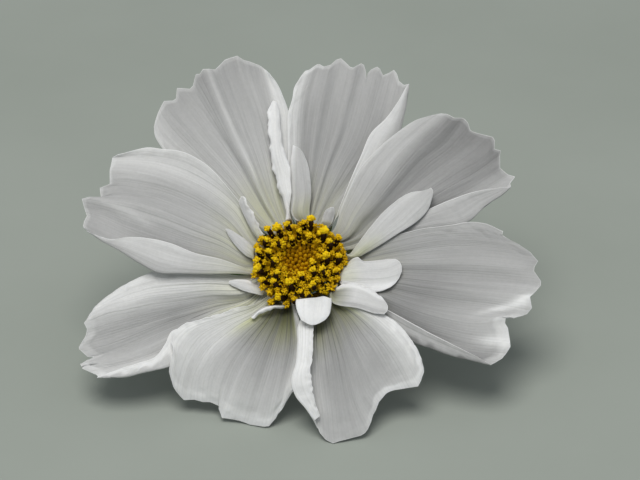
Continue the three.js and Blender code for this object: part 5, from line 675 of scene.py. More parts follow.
def tone_and_shade_of(name, v, u):
    """How white the tissue is, with painted shade and light in it: thin and greyer in the middle, where it is in shade,
    thicker and whiter in the margins, where light falls on the folds.
    """
    t = TONES_AND_SHADE.get(name)
    if t is None:
        return np.ones(np.broadcast(v, u).shape)
    foot, middle, tip, first, first_width, last, last_width = t
    m = np.interp(u, (0.15, 0.50, 0.95), (foot, middle, tip))
    a = smooth(first_width, first_width * 0.35, v)
    b = smooth(last_width, last_width * 0.35, 1 - v)
    return m * (1 - a) * (1 - b) + first * a * (1 - b) + last * b


def pleat(t, u, seed, wander=0.4):
    """A folded cross-section: straight panels between the veins, with a fold on each vein."""
    k = np.floor(t)
    def at(k):
        side = np.where(np.mod(k, 2) == 0, 0.45, -0.45)
        return side + 0.75 * _hash(k, 0 * k, seed) + wander * noise2(k * 7.3, u * 2.1, seed + 1)
    f = t - k
    return at(k) * (1 - f) + at(k + 1) * f


def streak(S, full, k, u, y, at0, at1, u0, u1, half, seed):
    """One where a streak is, zero away from it."""
    at = np.interp(u, (u0, u1), (at0, at1)) * full
    across = (S - at) * k / (half * (1 + 0.25 * noise2(y / 2.5, 0 * y + at0 * 9.0, seed + 900)))
    end = smooth(u1 + 0.06, u1 - 0.06, u) if u1 < 0.99 else 1.0
    return np.exp(-across**2) * smooth(u0, u0 + 0.12, u) * end


def petal(name, rails, tip, ray, material):
    foot_green_and_shade, veins, depth, crinkle, seed = LOOKS.get(name, (0.55, 0.08, 1.0, 1.0, 40 + int(name.split("_")[-1])))
    per = (6.0)
    rows = (124) if ray else (60)
    us = 1 - (1 - np.linspace(0, 1, rows)) ** 1.25
    g, s = blade(rails, tip, us, per)
    u = us[:, None]
    width = np.linalg.norm(np.diff(g, axis=1), axis=2).sum(1)[:, None]
    length = np.concatenate([[0], np.cumsum(np.linalg.norm(np.diff(g.mean(1), axis=0), axis=1))])
    L = length[-1]
    y = length[:, None]
    edge_v = np.minimum(s, s[-1] - s)[None, :] * np.clip(width / s[-1], 0.05, 2)
    edge_u = (L - y) * np.ones_like(edge_v)
    edge = np.minimum(edge_v, edge_u)
    n = grid_normals(g)
    if (n.reshape(-1, 3) @ AXIS).mean() < 0:
        n = -n
    S = s[None, :]
    k = np.clip(width / s[-1], 0.1, 1.2)
    grow = smooth(0.04, 0.34, u)
    gap = VEIN_SPACING if ray else VEIN_SPACING_EXTRA
    t = S / gap + 0.30 * noise2(S / 3.1, u * 1.3, seed + 500) + 0.12 * noise2(S / 1.0, u * 2.5, seed + 520)
    t2 = S / 0.42 + 0.35 * noise2(S / 0.9, u * 2.2, seed + 540)
    amp = 0.042 if ray else 0.026
    fade = 1.0 - 0.40 * smooth(0.55, 0.9, u)
    d = grow * fade * k * (depth + (1 - depth) * smooth(0.55, 0.25, u) * (depth > 1)) * amp * pleat(t, u, seed)
    d += grow * fade * (0.4 + 0.6 * k) * 0.017 * pleat(t2, u, seed + 60, 0.8)
    d += grow * k * 0.030 * noise2(S / 2.6, u * 1.1, seed + 100)
    if ray:
        d += smooth(0.3, 1.0, u) * 0.15 * noise2(S / 6.0 + 3.3, y / 9.0, seed + 300)
        near_tip = smooth(5.0, 0.5, edge) * smooth(0.45, 0.7, u)
        d += near_tip * 0.022 * noise2(S / 0.38, y / 1.6, seed + 410)
        d += near_tip * crinkle * (0.052 * noise2(S / 0.9, y / 1.0, seed + 400)
                                   + 0.085 * noise2(S / 2.2, y / 1.8, seed + 420))
    else:
        d += smooth(0.3, 1.0, u) * 0.06 * noise2(S / 3.0, y / 4.0, seed + 300)
        d += smooth(0.9, 0.0, edge) * smooth(0.15, 0.4, u) * 0.05 * noise2(S / 0.8, y / 0.7, seed + 430)
    if name in TORN:
        first, last = TORN[name]
        across_v = np.gradient(g, axis=1)
        across_v /= np.linalg.norm(across_v, axis=2)[..., None] + 1e-9
        ramp = smooth(0.10, 0.30, u) * smooth(1.0, 0.93, u)
        for side, torn in ((S * k, first), ((s[-1] - S) * k, last)):
            if torn > 0:
                sign = 1.0 if torn is first and side is not None and side[0, 0] == 0 else -1.0
                w = smooth(1.1, 0.0, side) * ramp
                fray = noise2(y / 0.55 + 0 * S, 0 * y + 0 * S + 1.7, seed + 700) + 0.6 * noise2(y / 1.5 + 0 * S, 0 * S + 4.1, seed + 720)
                g = g + across_v * (sign * torn * 0.9 * (0.35 + fray) * w)[..., None]
                d = d + w * torn * 1.1 * noise2(y / 0.7 + 0 * S, side / 0.8, seed + 740)
    for at0, at1, u0, u1, half, height, painted_lighting in CREASES_AND_PAINTED_LIGHT.get(name, []):
        d = d + height * streak(S, s[-1], k, u, y, at0, at1, u0, u1, half, seed)
    g = g + n * d[..., None]
    g[..., 2] = np.maximum(g[..., 2], 0.12)
    thick = 0.10 + 0.12 * smooth(0.0, 1.2, edge) + 0.10 * smooth(0.30, 0.0, u)
    uv = np.stack(np.broadcast_arrays(S / 10.0, y / 10.0), 2)
    where = np.stack(np.broadcast_arrays(S / s[-1], u, np.clip(edge / 2.0, 0, 1)), 2)
    # the tone paints the petal's shade and light along with its whiteness
    tone_and_shade = tone_and_shade_of(name, S / s[-1], u)
    if ray:
        tone_and_shade = tone_and_shade * (1 + 0.060 * smooth(0.50, 0.85, u) * noise2(S / 0.75, y / 9.0, seed + 800))
    # painted light and shade along the creases: lit ridges lighter, shaded valleys darker
    for at0, at1, u0, u1, half, height, painted_lighting in CREASES_AND_PAINTED_LIGHT.get(name, []):
        tone_and_shade = tone_and_shade * (1 + painted_lighting * streak(S, s[-1], k, u, y, at0, at1, u0, u1, half, seed))
    # painted highlight: the outline and folded margins are lightened toward white
    if name in RIM_WHITE_AND_HIGHLIGHT:
        reach, amount = RIM_WHITE_AND_HIGHLIGHT[name]
        a = np.interp(S / s[-1], (0, 0.25, 0.5, 0.75, 1), amount)
        ragged = reach * (1.0 + 0.35 * noise2(S / 1.4, y / 1.4, seed + 610))
        a = a * smooth(0.25, 0.55, u) * smooth(1.0, 0.55, edge / ragged)
        tone_and_shade = tone_and_shade * (1 - a) + 1.15 * a
    look = np.stack(np.broadcast_arrays(foot_green_and_shade, veins, tone_and_shade), 2)
    nearest = np.floor(t + 0.5)
    strength = np.clip(0.70 + 0.50 * _hash(nearest, 0 * nearest + 3, seed + 77), 0.15, 1.0)
    fibre = np.stack(np.broadcast_arrays(t, strength, t2), 2)
    b = Build()
    sheet(b, g, thick, uv, {"blade": where, "look": look, "fibre": fibre})
    return b.make(name + "_visual", [material], "ray_petal" if ray else "extra_petal", [name])


# ------------------------------------------------------------------------------------------------
# materials
# ------------------------------------------------------------------------------------------------
class Nodes:
    def __init__(self, name):
        self.m = bpy.data.materials.new(name)
        self.m.use_nodes = True
        self.t = self.m.node_tree
        self.t.nodes.clear()
        self.out = self.t.nodes.new("ShaderNodeOutputMaterial")
        self.p = self.t.nodes.new("ShaderNodeBsdfPrincipled")
        self.t.links.new(self.p.outputs[0], self.out.inputs["Surface"])

    def new(self, kind, **settings):
        n = self.t.nodes.new(kind)
        for k, v in settings.items():
            setattr(n, k, v)
        return n

    def put(self, socket, value):
        if isinstance(value, bpy.types.NodeSocket):
            self.t.links.new(value, socket)
        else:
            socket.default_value = value

    def math(self, op, a, b=0.0, c=None, clamp=False):
        n = self.new("ShaderNodeMath", operation=op, use_clamp=clamp)
        self.put(n.inputs[0], a)
        self.put(n.inputs[1], b)
        if c is not None:
            self.put(n.inputs[2], c)
        return n.outputs[0]

    def attr(self, name):
        n = self.new("ShaderNodeAttribute", attribute_name=name)
        s = self.new("ShaderNodeSeparateXYZ")
        self.t.links.new(n.outputs["Vector"], s.inputs[0])
        return s.outputs[0], s.outputs[1], s.outputs[2], n.outputs["Fac"]

    def uv(self):
        n = self.new("ShaderNodeUVMap", uv_map="UVMap")
        s = self.new("ShaderNodeSeparateXYZ")
        self.t.links.new(n.outputs[0], s.inputs[0])
        return s.outputs[0], s.outputs[1]

    def vec(self, x, y, z=0.0):
        n = self.new("ShaderNodeCombineXYZ")
        for s, v in zip(n.inputs, (x, y, z)):
            self.put(s, v)
        return n.outputs[0]

    def noise(self, vector, scale=1.0, detail=2.0, rough=0.5, distortion=0.0):
        n = self.new("ShaderNodeTexNoise", noise_dimensions="3D")
        self.put(n.inputs["Vector"], vector)
        n.inputs["Scale"].default_value = scale
        n.inputs["Detail"].default_value = detail
        n.inputs["Roughness"].default_value = rough
        n.inputs["Distortion"].default_value = distortion
        return n.outputs["Fac"]

    def ramp(self, fac, stops, interpolation="LINEAR"):
        n = self.new("ShaderNodeValToRGB")
        n.color_ramp.interpolation = interpolation
        e = n.color_ramp.elements
        while len(e) < len(stops):
            e.new(0.5)
        for el, (pos, col) in zip(e, stops):
            el.position = pos
            el.color = (*col, 1.0) if hasattr(col, "__len__") else (col, col, col, 1.0)
        self.put(n.inputs[0], fac)
        return n.outputs[0]

    def span(self, value, a, b, lo=0.0, hi=1.0, kind="SMOOTHSTEP"):
        n = self.new("ShaderNodeMapRange", interpolation_type=kind, clamp=True)
        self.put(n.inputs["Value"], value)
        n.inputs["From Min"].default_value = a
        n.inputs["From Max"].default_value = b
        n.inputs["To Min"].default_value = lo
        n.inputs["To Max"].default_value = hi
        return n.outputs["Result"]

    def mix(self, fac, a, b, blend="MIX"):
        n = self.new("ShaderNodeMix", data_type="RGBA", blend_type=blend, clamp_factor=True)
        self.put(n.inputs[0], fac)
        for s, v in ((n.inputs[6], a), (n.inputs[7], b)):
            self.put(s, v if isinstance(v, bpy.types.NodeSocket) else (*v, 1.0))
        return n.outputs[2]

    def bump(self, height, strength, distance):
        n = self.new("ShaderNodeBump")
        n.inputs["Strength"].default_value = strength
        n.inputs["Distance"].default_value = distance
        self.put(n.inputs["Height"], height)
        self.t.links.new(n.outputs[0], self.p.inputs["Normal"])

    def finish(self, color, roughness=None, **sockets):
        self.put(self.p.inputs["Base Color"], color)
        if roughness is not None:
            self.put(self.p.inputs["Roughness"], roughness)
        for k, v in sockets.items():
            self.p.inputs[k.replace("_", " ")].default_value = v
        return self.m


def petal_material(name, white, seed):
    w = Nodes(name)
    v, u, rim, _ = w.attr("blade")
    foot_green_and_shade, veins, tone_and_shade, _ = w.attr("look")
    t, strength, t2, _ = w.attr("fibre")
    x, y = w.uv()
    # streaks that run along the blade, broad and fine, and soft blotches
    wide = w.noise(w.vec(w.math("MULTIPLY", x, 7.0), w.math("MULTIPLY", y, 0.5), seed), 1.0, 2.0, 0.55)
    fine = w.noise(w.vec(w.math("MULTIPLY", x, 30.0), w.math("MULTIPLY", y, 0.8), seed + 3.0), 1.0, 3.0, 0.65)
    blotch = w.noise(w.vec(x, y, seed + 11.0), 3.0, 4.0, 0.6)
    grain = w.noise(w.vec(w.math("MULTIPLY", x, 26.0), w.math("MULTIPLY", y, 18.0), seed + 17.0), 1.0, 2.0, 0.6)
    calm = w.span(u, 0.55, 0.9, 1.0, 0.45)
    m = w.math("ADD", 1.0, w.math("MULTIPLY", calm, w.span(fine, 0.33, 0.67, -0.075, 0.035)))
    m = w.math("MULTIPLY", m, w.span(wide, 0.3, 0.7, 0.965, 1.02))
    m = w.math("MULTIPLY", m, w.span(blotch, 0.33, 0.68, 0.975, 1.01))
    m = w.math("MULTIPLY", m, w.span(grain, 0.3, 0.7, 0.975, 1.02))
    base = w.mix(1.0, white, w.vec(m, m, m), "MULTIPLY")
    # one thin vein on each fold, wider and darker toward the foot
    off = w.math("ABSOLUTE", w.math("SUBTRACT", w.math("FRACT", w.math("ADD", t, 0.5)), 0.5))
    ratio = w.math("DIVIDE", off, w.span(u, 0.0, 0.6, 0.20, 0.085))
    line = w.math("MULTIPLY", w.span(ratio, 0.2, 1.0, 1.0, 0.0), strength)
    off2 = w.math("ABSOLUTE", w.math("SUBTRACT", w.math("FRACT", w.math("ADD", t2, 0.5)), 0.5))
    thin = w.span(off2, 0.05, 0.26, 1.0, 0.0)
    near = w.span(u, 0.78, 0.28)
    dark = w.ramp(w.math("MULTIPLY", foot_green_and_shade, w.span(u, 0.55, 0.15)), [(0.0, (0.40, 0.41, 0.37)), (1.0, (0.15, 0.155, 0.085))])
    base = w.mix(w.math("MULTIPLY", w.math("MULTIPLY", thin, w.span(u, 0.9, 0.1, 0.05, 0.22)), w.math("ADD", veins, 0.25)), base, dark)
    # the foot is washed with a greenish yellow
    lifted = w.math("SUBTRACT", u, w.math("MULTIPLY", foot_green_and_shade, 0.14))
    foot = w.math("MULTIPLY", w.span(lifted, 0.42, 0.04), w.span(wide, 0.35, 0.65, 0.45, 1.0))
    low_tone = w.span(tone_and_shade, 1.04, 0.80)
    foot = w.math("MULTIPLY", foot, w.math("ADD", 0.45, w.math("MULTIPLY", foot_green_and_shade, 0.55)))
    foot = w.math("MULTIPLY", foot, low_tone)
    wash = w.ramp(foot_green_and_shade, [(0.3, (0.96, 0.97, 0.66)), (1.0, (0.94, 0.97, 0.44))])
    base = w.mix(foot, base, w.mix(1.0, base, wash, "MULTIPLY"))
    # painted shade at the foot: petals with more greenness darken toward an olive grey where the disc shades them, over
    # the foot's own greenish colour
    foot_olive_and_shade = w.math("MULTIPLY", w.span(u, 0.36, 0.10), w.span(foot_green_and_shade, 0.45, 0.9, 0.0, 0.90))
    foot_olive_and_shade = w.math("MULTIPLY", foot_olive_and_shade, low_tone)
    base = w.mix(foot_olive_and_shade, base, w.mix(1.0, base, (0.42, 0.43, 0.36), "MULTIPLY"))
    # the veins fade where the tone is high, on whiter tissue and where light is painted on
    near_low_tone = w.math("MULTIPLY", near, w.span(tone_and_shade, 1.10, 0.85, 0.12, 1.0))
    base = w.mix(w.math("MULTIPLY", w.math("MULTIPLY", line, near_low_tone), w.math("MULTIPLY", veins, 0.85)), base, dark)
    base = w.mix(w.math("MULTIPLY", line, 0.10), base, tuple(c * 0.72 for c in white))
    # multiply in the tone: the tissue's whiteness, with painted shade and painted light
    base = w.mix(1.0, base, w.vec(tone_and_shade, tone_and_shade, tone_and_shade), "MULTIPLY")
    # a painted highlight along the outline, where the thin edge catches the light
    base = w.mix(w.math("MULTIPLY", w.span(rim, 0.070, 0.015, 0.0, 0.60), w.span(u, 0.05, 0.3)), base, (0.93, 0.93, 0.92))
    h = w.math("SUBTRACT", fine, w.math("MULTIPLY", line, 0.35))
    h = w.math("SUBTRACT", h, w.math("MULTIPLY", thin, 0.20))
    # the claw, hidden among the florets, is ochre
    base = w.mix(w.span(u, 0.052, 0.030), base, (0.22, 0.14, 0.020))
    w.bump(h, 0.45, 0.00010)
    return w.finish(base, w.span(blotch, 0.3, 0.7, 0.44, 0.60), Subsurface_Weight=SSS, Subsurface_Scale=0.00035,
                    Subsurface_Radius=(1.0, 0.98, 0.92), IOR=1.38, Sheen_Weight=0.06, Sheen_Roughness=0.4)


SSS = 0.5
PETAL = petal_material("petal_white", (0.80, 0.80, 0.79), 1.3)
EXTRA = petal_material("petaloid_white", (0.84, 0.84, 0.83), 5.1)


def floret_material(name, low, mid, high, bumpy, rough=0.6, seed=0.0, sss=0.15):
    w = Nodes(name)
    shade = w.attr("shade")[3]
    tc = w.new("ShaderNodeTexCoord")
    n = w.noise(tc.outputs["Object"], 2600.0, 3.0, 0.6)
    fine = w.noise(tc.outputs["Object"], 7000.0, 2.0, 0.6)
    t = w.math("ADD", w.math("MULTIPLY", shade, 0.75), w.span(n, 0.3, 0.7, -0.1, 0.32))
    col = w.ramp(t, [(0.0, low), (0.45, mid), (1.0, high)])
    w.bump(w.math("ADD", n, w.math("MULTIPLY", fine, 0.5)), bumpy, 0.00010)
    return w.finish(col, w.span(fine, 0.3, 0.7, rough - 0.08, rough + 0.1), Subsurface_Weight=sss, Subsurface_Scale=0.0004,
                    Subsurface_Radius=(1.0, 0.6, 0.1), Specular_IOR_Level=0.12)


COROLLA = floret_material("floret_corolla", (0.16, 0.078, 0.001), (0.58, 0.345, 0.003), (0.98, 0.66, 0.006), 0.5)
POLLEN = floret_material("floret_pollen", (0.30, 0.155, 0.001), (0.74, 0.46, 0.004), (1.0, 0.70, 0.012), 0.9, 0.7)
ANTHER = floret_material("floret_anther", (0.007, 0.003, 0.001), (0.016, 0.006, 0.002), (0.040, 0.015, 0.004), 0.5, 0.5, sss=0.0)
BUD = floret_material("floret_bud", (0.11, 0.052, 0.001), (0.46, 0.245, 0.002), (0.78, 0.46, 0.004), 0.5)


def green_material(name, dark, mid, light, along, across, seed):
    w = Nodes(name)
    x, y = w.uv()
    streak = w.noise(w.vec(w.math("MULTIPLY", x, across), w.math("MULTIPLY", y, along), seed), 1.0, 3.0, 0.55)
    patch = w.noise(w.vec(x, y, seed + 4.0), 2.3, 3.0, 0.5)
    col = w.ramp(w.math("ADD", w.math("MULTIPLY", streak, 0.7), w.math("MULTIPLY", patch, 0.3)),
                 [(0.3, dark), (0.5, mid), (0.72, light)])
    w.bump(streak, 0.4, 0.00015)
    return w.finish(col, w.span(patch, 0.3, 0.7, 0.42, 0.6), Subsurface_Weight=0.12, Subsurface_Scale=0.0008,
                    Subsurface_Radius=(0.6, 1.0, 0.3))


STEM = green_material("stem_green", (0.055, 0.105, 0.020), (0.105, 0.190, 0.038), (0.17, 0.27, 0.07), 0.6, 14.0, 2.0)
BRACT = green_material("outer_bract_green", (0.045, 0.095, 0.018), (0.085, 0.165, 0.032), (0.15, 0.25, 0.06), 0.8, 30.0, 6.0)
INNER = green_material("inner_bract_pale", (0.20, 0.24, 0.085), (0.33, 0.36, 0.15), (0.50, 0.50, 0.26), 0.5, 36.0, 9.0)
# dark ochre: partly the receptacle's own colour and partly painted shade for the gaps between the florets, where it
# shows
DISC = green_material("receptacle_ochre_gap_shade", (0.030, 0.016, 0.002), (0.075, 0.040, 0.004), (0.14, 0.08, 0.008), 4.0, 9.0, 12.0)


# ------------------------------------------------------------------------------------------------
# petals
# ------------------------------------------------------------------------------------------------
for name, rails, tip in BLADES:
    ray = name.startswith("ray")
    petal(name, rails, tip, ray, PETAL if ray else EXTRA)


# ------------------------------------------------------------------------------------------------
# bracts
# ------------------------------------------------------------------------------------------------
def bract(name, angle, length, width, path, rows, cols, fold, thickness, material, slot, seed):
    us = np.linspace(0, 1, rows)
    S = np.linspace(-1, 1, cols)[None, :]
    u = us[:, None]
    r, h = path(u)
    half = width(u) / 2
    x = r + 0 * S
    yy = -S * half
    wave = 0.10 * noise2(S * 1.6 + seed, u * 3.1, seed) * smooth(0.25, 0.9, u)
    ridge = 0.07 * np.exp(-(S / 0.10) ** 2) * (1 - u)
    pleat = 0.022 * np.cos(S * 26.0) * smooth(0.0, 0.2, u) * (1 - 0.6 * u)
    hh = h - fold * S * S * half + wave * 0.5 - ridge - pleat
    rr, aa = np.hypot(x, yy), angle + np.arctan2(yy, x)
    g = to_world(np.stack([rr * np.cos(aa), rr * np.sin(aa), hh * np.ones_like(rr)], 2))
    edge = np.minimum((1 - np.abs(S)) * half, (1 - u) * length)
    thick = thickness * (0.35 + 0.55 * smooth(0, 0.6, edge)) * np.ones_like(rr)
    uv = np.stack(np.broadcast_arrays(S * 0.1 * 3 + seed * 0.37, u * length / 10), 2)
    b = Build()
    sheet(b, g, thick, uv, {})
    return b.make(name + "_visual", [material], slot, [name])


for k in range(8):
    bract(f"inner_bract_{k + 1}", math.radians(22 + 45 * k), 7.2,
          lambda u: 2.4 + 2.6 * np.sin(np.pi * np.minimum(1, u * 1.05)) * (1 - 0.25 * u) - 1.9 * u ** 4,
          lambda u: (5.1 + 7.2 * u, -1.45 + 0.5 * u - 0.25 * u * u), 40, 31, 0.03, 0.34, INNER, "inner_bract", 61 + k)
    bract(f"outer_bract_{k + 1}", math.radians(45 * k), 8.6,
          lambda u: 1.3 + 0.6 * np.sin(np.pi * u * 0.9) - 0.85 * u ** 2,
          lambda u: (3.5 + 8.6 * u, -2.55 + 0.5 * u - 1.6 * u * u), 44, 19, 0.12, 0.36, BRACT, "outer_bract", 81 + k)


# ------------------------------------------------------------------------------------------------
# receptacle and stem, in one piece
# ------------------------------------------------------------------------------------------------
def bezier(p0, p1, p2, p3, t):
    t = t[:, None]
    return (1 - t) ** 3 * p0 + 3 * (1 - t) ** 2 * t * p1 + 3 * (1 - t) * t * t * p2 + t ** 3 * p3


def stem():
    sides = 72
    a = np.linspace(0, 2 * np.pi, sides, endpoint=False)
    prof = np.array([(0.9, 0.05), (0.88, 0.9), (0.75, 2.2), (0.4, 3.9), (0.05, 5.05), (-0.4, 5.2), (-1.0, 4.6), (-1.9, 3.0),
                     (-2.9, 1.9), (-3.9, 1.25), (-4.8, 1.0)])
    pk = chord(np.c_[prof, np.zeros(len(prof))])
    fine = crom(np.linspace(0, 1, 46), pk, np.c_[prof, np.zeros(len(prof))])[:, :2]
    rings = []
    for h, r in fine:
        ribs = 0.05 * smooth(2.8, 1.2, r) * (h < 0) * np.cos(a * 8 + 0.4)
        rr = max(r, 0.04) + ribs + 0.03 * noise2(a * 2.2, h * 2.0, 5) * (r > 0.5)
        rings.append(to_world(np.stack([rr * np.cos(a), rr * np.sin(a), np.full(sides, h)], 1)))
    neck = to_world([0, 0, -4.8])
    landing = np.array([CENTRE[0] + 2.1, CENTRE[1] + 24.0, 1.03])
    end = np.array([CENTRE[0] + 6.0, CENTRE[1] + 50.0, 0.95])
    t = np.linspace(0, 1, 200)
    path = np.concatenate([
        bezier(neck, neck - 7.5 * AXIS, landing + [-1.0, -9.0, 0.05], landing, t)[:-1],
        bezier(landing, landing + [1.0, 9.0, -0.05], end + [-2.6, -8.0, 0.0], end, t)])
    d = np.concatenate([[0], np.cumsum(np.linalg.norm(np.diff(path, axis=0), axis=1))])
    count = 150
    at = np.linspace(0, d[-1], count + 1)[1:]
    P = np.stack([np.interp(at, d, path[:, c]) for c in range(3)], 1)
    T = np.gradient(P, axis=0)
    T /= np.linalg.norm(T, axis=1)[:, None]
    for i, (p, tt) in enumerate(zip(P, T)):
        side = SIDE - tt * (tt @ SIDE)
        side /= np.linalg.norm(side)
        up = np.cross(side, tt)
        up /= np.linalg.norm(up)
        if up @ UP < 0:
            up = -up
        s = at[i]
        r = 0.93 - 0.03 * np.cos(a * 8 + 0.4 + 0.01 * s) + 0.012 * noise2(a * 2.0, s / 1.5, 9)
        r = np.minimum(r, 0.945)
        # the cut end is slightly rounded in
        r = r * (1 - 0.25 * smooth(at[-1] - 0.25, at[-1], s))
        rings.append(p + r[:, None] * (np.cos(a)[:, None] * side + np.sin(a)[:, None] * up))
    rings = np.array(rings)
    k = len(rings)
    lengths = np.concatenate([[0], np.cumsum(np.linalg.norm(np.diff(rings.mean(1), axis=0), axis=1))])
    uu, vv = np.meshgrid(np.arange(sides) / sides, lengths / 10)
    uv = np.concatenate([np.stack([uu, vv], 2).reshape(-1, 2), [[0.5, 0], [0.5, lengths[-1] / 10]]])
    b = Build()
    sweep(b, rings, uv)
    o = b.make("stem_visual", [STEM, DISC], "stem_green", ["stem"])
    top = len(fine) * sides
    me = o.data
    idx = np.zeros(len(me.polygons), np.int32)
    first = np.array([p.vertices[0] for p in me.polygons])
    idx[(first < 20 * sides)] = 1
    idx[(first == k * sides)] = 1
    me.polygons.foreach_set("material_index", idx)


stem()


# ------------------------------------------------------------------------------------------------
# disc florets
# ------------------------------------------------------------------------------------------------
def frame_along(P):
    T = np.gradient(P, axis=0)
    T /= np.linalg.norm(T, axis=1)[:, None]
    A = np.cross(T, SIDE + 0.3 * UP)
    A /= np.linalg.norm(A, axis=1)[:, None]
    B = np.cross(T, A)
    return T, A, B


def tube(build, P, R, sides, material, shade, star=None, spin=0.0):
    """Rings of radius R[i] (times star[i] by angle) about the line P."""
    T, A, B = frame_along(P)
    q = np.linspace(0, 2 * np.pi, sides, endpoint=False) + spin
    rings = []
    for i in range(len(P)):
        f = np.ones(sides) if star is None else star(i, q - spin)
        rings.append(P[i] + (R[i] * f)[:, None] * (np.cos(q)[:, None] * A[i] + np.sin(q)[:, None] * B[i]))
    sweep(build, np.array(rings), None, material, shade=shade)


def blob(build, centre, axis, wide, tall, seed, material, shade, lump=0.2, sides=14, rows=10, taper=0.0):
    """A lumpy closed body about a point."""
    axis = axis / np.linalg.norm(axis)
    A = np.cross(axis, SIDE + 0.3 * UP)
    A /= np.linalg.norm(A)
    B = np.cross(axis, A)
    th = np.linspace(0.06, np.pi - 0.06, rows)
    q = np.linspace(0, 2 * np.pi, sides, endpoint=False)
    rings, sh = [], []
    for t in th:
        z = -math.cos(t)
        # lumps: bumps that go round without a seam
        n = (0.5 * np.sin(3 * q + seed * 1.7 + 2.0 * z) + 0.35 * np.sin(5 * q - seed * 2.3 + 3.1 * z)
             + 0.3 * np.cos(2 * q + seed + 4.0 * z))
        r = math.sin(t) * (1 + lump * n) * (1 - taper * z)
        rings.append(centre + axis * (z * tall / 2 * (1 + 0.25 * lump * n))[:, None]
                     + wide / 2 * r[:, None] * (np.cos(q)[:, None] * A + np.sin(q)[:, None] * B))
        # painted light and shade: each lump is lighter toward its upper end and darker toward its lower end
        sh.append(shade + 0.12 * z)
    sweep(build, np.array(rings), None, material, shade=np.array(sh))


def corolla(build, P, base_r, throat_r, lobe, seed, shade, spin, reflex=0.5):
    """A yellow trumpet with five small pointed lobes, closed inside at its throat."""
    k = len(P)
    T, A, B = frame_along(P)
    sides = 20
    q = np.linspace(0, 2 * np.pi, sides, endpoint=False)
    star = np.maximum(0, np.cos(5 * (q - spin) / 1.0)) ** 0.8
    rings, sh = [], []
    for i in range(k):
        f = i / (k - 1)
        r = base_r + (throat_r - base_r) * f ** 2.2
        rings.append(P[i] + r * (np.cos(q)[:, None] * A[i] + np.sin(q)[:, None] * B[i]))
        # painted shade: the tube darkens toward its foot
        sh.append(shade * (0.45 + 0.55 * f))
    e, t, a, b = P[-1], T[-1], A[-1], B[-1]
    ring = lambda r, z: e + (r)[:, None] * (np.cos(q)[:, None] * a + np.sin(q)[:, None] * b) + (z)[:, None] * t
    jit = 1 + 0.18 * np.cos(q * 2 + seed)
    # out along the lobes, over their edge and back down the throat
    # painted light and shade: the lobes a little lighter, the throat darker the deeper it goes
    rings.append(ring(throat_r * 1.12 + lobe * 0.45 * star * jit, 0.10 + 0.16 * star))
    sh.append(shade)
    rings.append(ring(throat_r * 1.15 + lobe * 0.95 * star * jit, 0.12 + 0.20 * star - reflex * 0.35 * star))
    sh.append(shade * 1.1)
    rings.append(ring(throat_r * 1.10 + lobe * 0.90 * star * jit, 0.19 + 0.24 * star - reflex * 0.30 * star))
    sh.append(shade * 1.15)
    rings.append(ring(throat_r * 1.0 + lobe * 0.35 * star * jit, 0.19 + 0.20 * star))
    sh.append(shade)
    rings.append(ring(throat_r * 0.80 + 0 * q, 0.10 + 0 * q))
    sh.append(shade * 0.7)
    rings.append(ring(throat_r * 0.62 + 0 * q, -0.25 + 0 * q))
    sh.append(shade * 0.3)
    sweep(build, np.array(rings), None, 0, shade=np.array(sh))


def spine(base, tube_at, tip, n, end=1.0):
    """A smooth line from the foot, through the tube's point, to the tip."""
    a = tube_at - base
    t = np.linspace(0, end, n)
    mid = 2 * tube_at - 0.5 * (base + tip)
    t = t[:, None]
    return (1 - t) ** 2 * base + 2 * (1 - t) * t * mid + t * t * tip


FLORET_MATS = [COROLLA, ANTHER, POLLEN, BUD]
rings_of = {
    "disc_florets_outer_ring": Build(), "disc_florets_second_ring": Build(),
    "disc_florets_third_ring": Build(), "disc_florets_centre_buds": Build(),
}


def piece_for(r):
    return rings_of["disc_florets_outer_ring" if r > 6.3 else "disc_florets_second_ring" if r > 4.9 else "disc_florets_third_ring"]


def across(axis):
    A = np.cross(axis, SIDE + 0.3 * UP)
    A /= np.linalg.norm(A)
    return A, np.cross(axis, A)


def cluster(build, centre, axis, wide, tall, count, shade, material, rnd, low=-0.45):
    """A lumpy head: a core with rounded grains all over its upper side."""
    axis = axis / np.linalg.norm(axis)
    A, B = across(axis)
    # painted shade: the core between the grains is darker
    blob(build, centre, axis, wide * 0.72, tall * 0.72, rnd.uniform(0, 9), material, shade * 0.7, 0.12, 8, 6)
    turn = rnd.uniform(0, 6.28)
    squash = rnd.uniform(0.80, 1.20)
    for k in range(count):
        z = low + (1 - low) * (k + 0.5) / count
        q = turn + k * 2.39996 + rnd.uniform(-0.45, 0.45)
        s = math.sqrt(max(0.0, 1 - z * z))
        out = (math.cos(q) * A * squash + math.sin(q) * B / squash) * s
        push = rnd.uniform(0.27, 0.46)
        at = centre + out * wide * push + axis * z * tall * push
        r = 0.165 * wide * rnd.uniform(0.62, 1.35) + 0.035
        lean = out + axis * (z + 0.4) + 0.45 * rnd.standard_normal(3)
        # painted shade in the crevices: grains are randomly darkened, and those lower on the head more so
        blob(build, at, lean, 2 * r, 2 * r * rnd.uniform(1.0, 1.75), rnd.uniform(0, 9), material,
             shade + rnd.uniform(-0.30, 0.16) + 0.12 * z, 0.26, 7, 5)


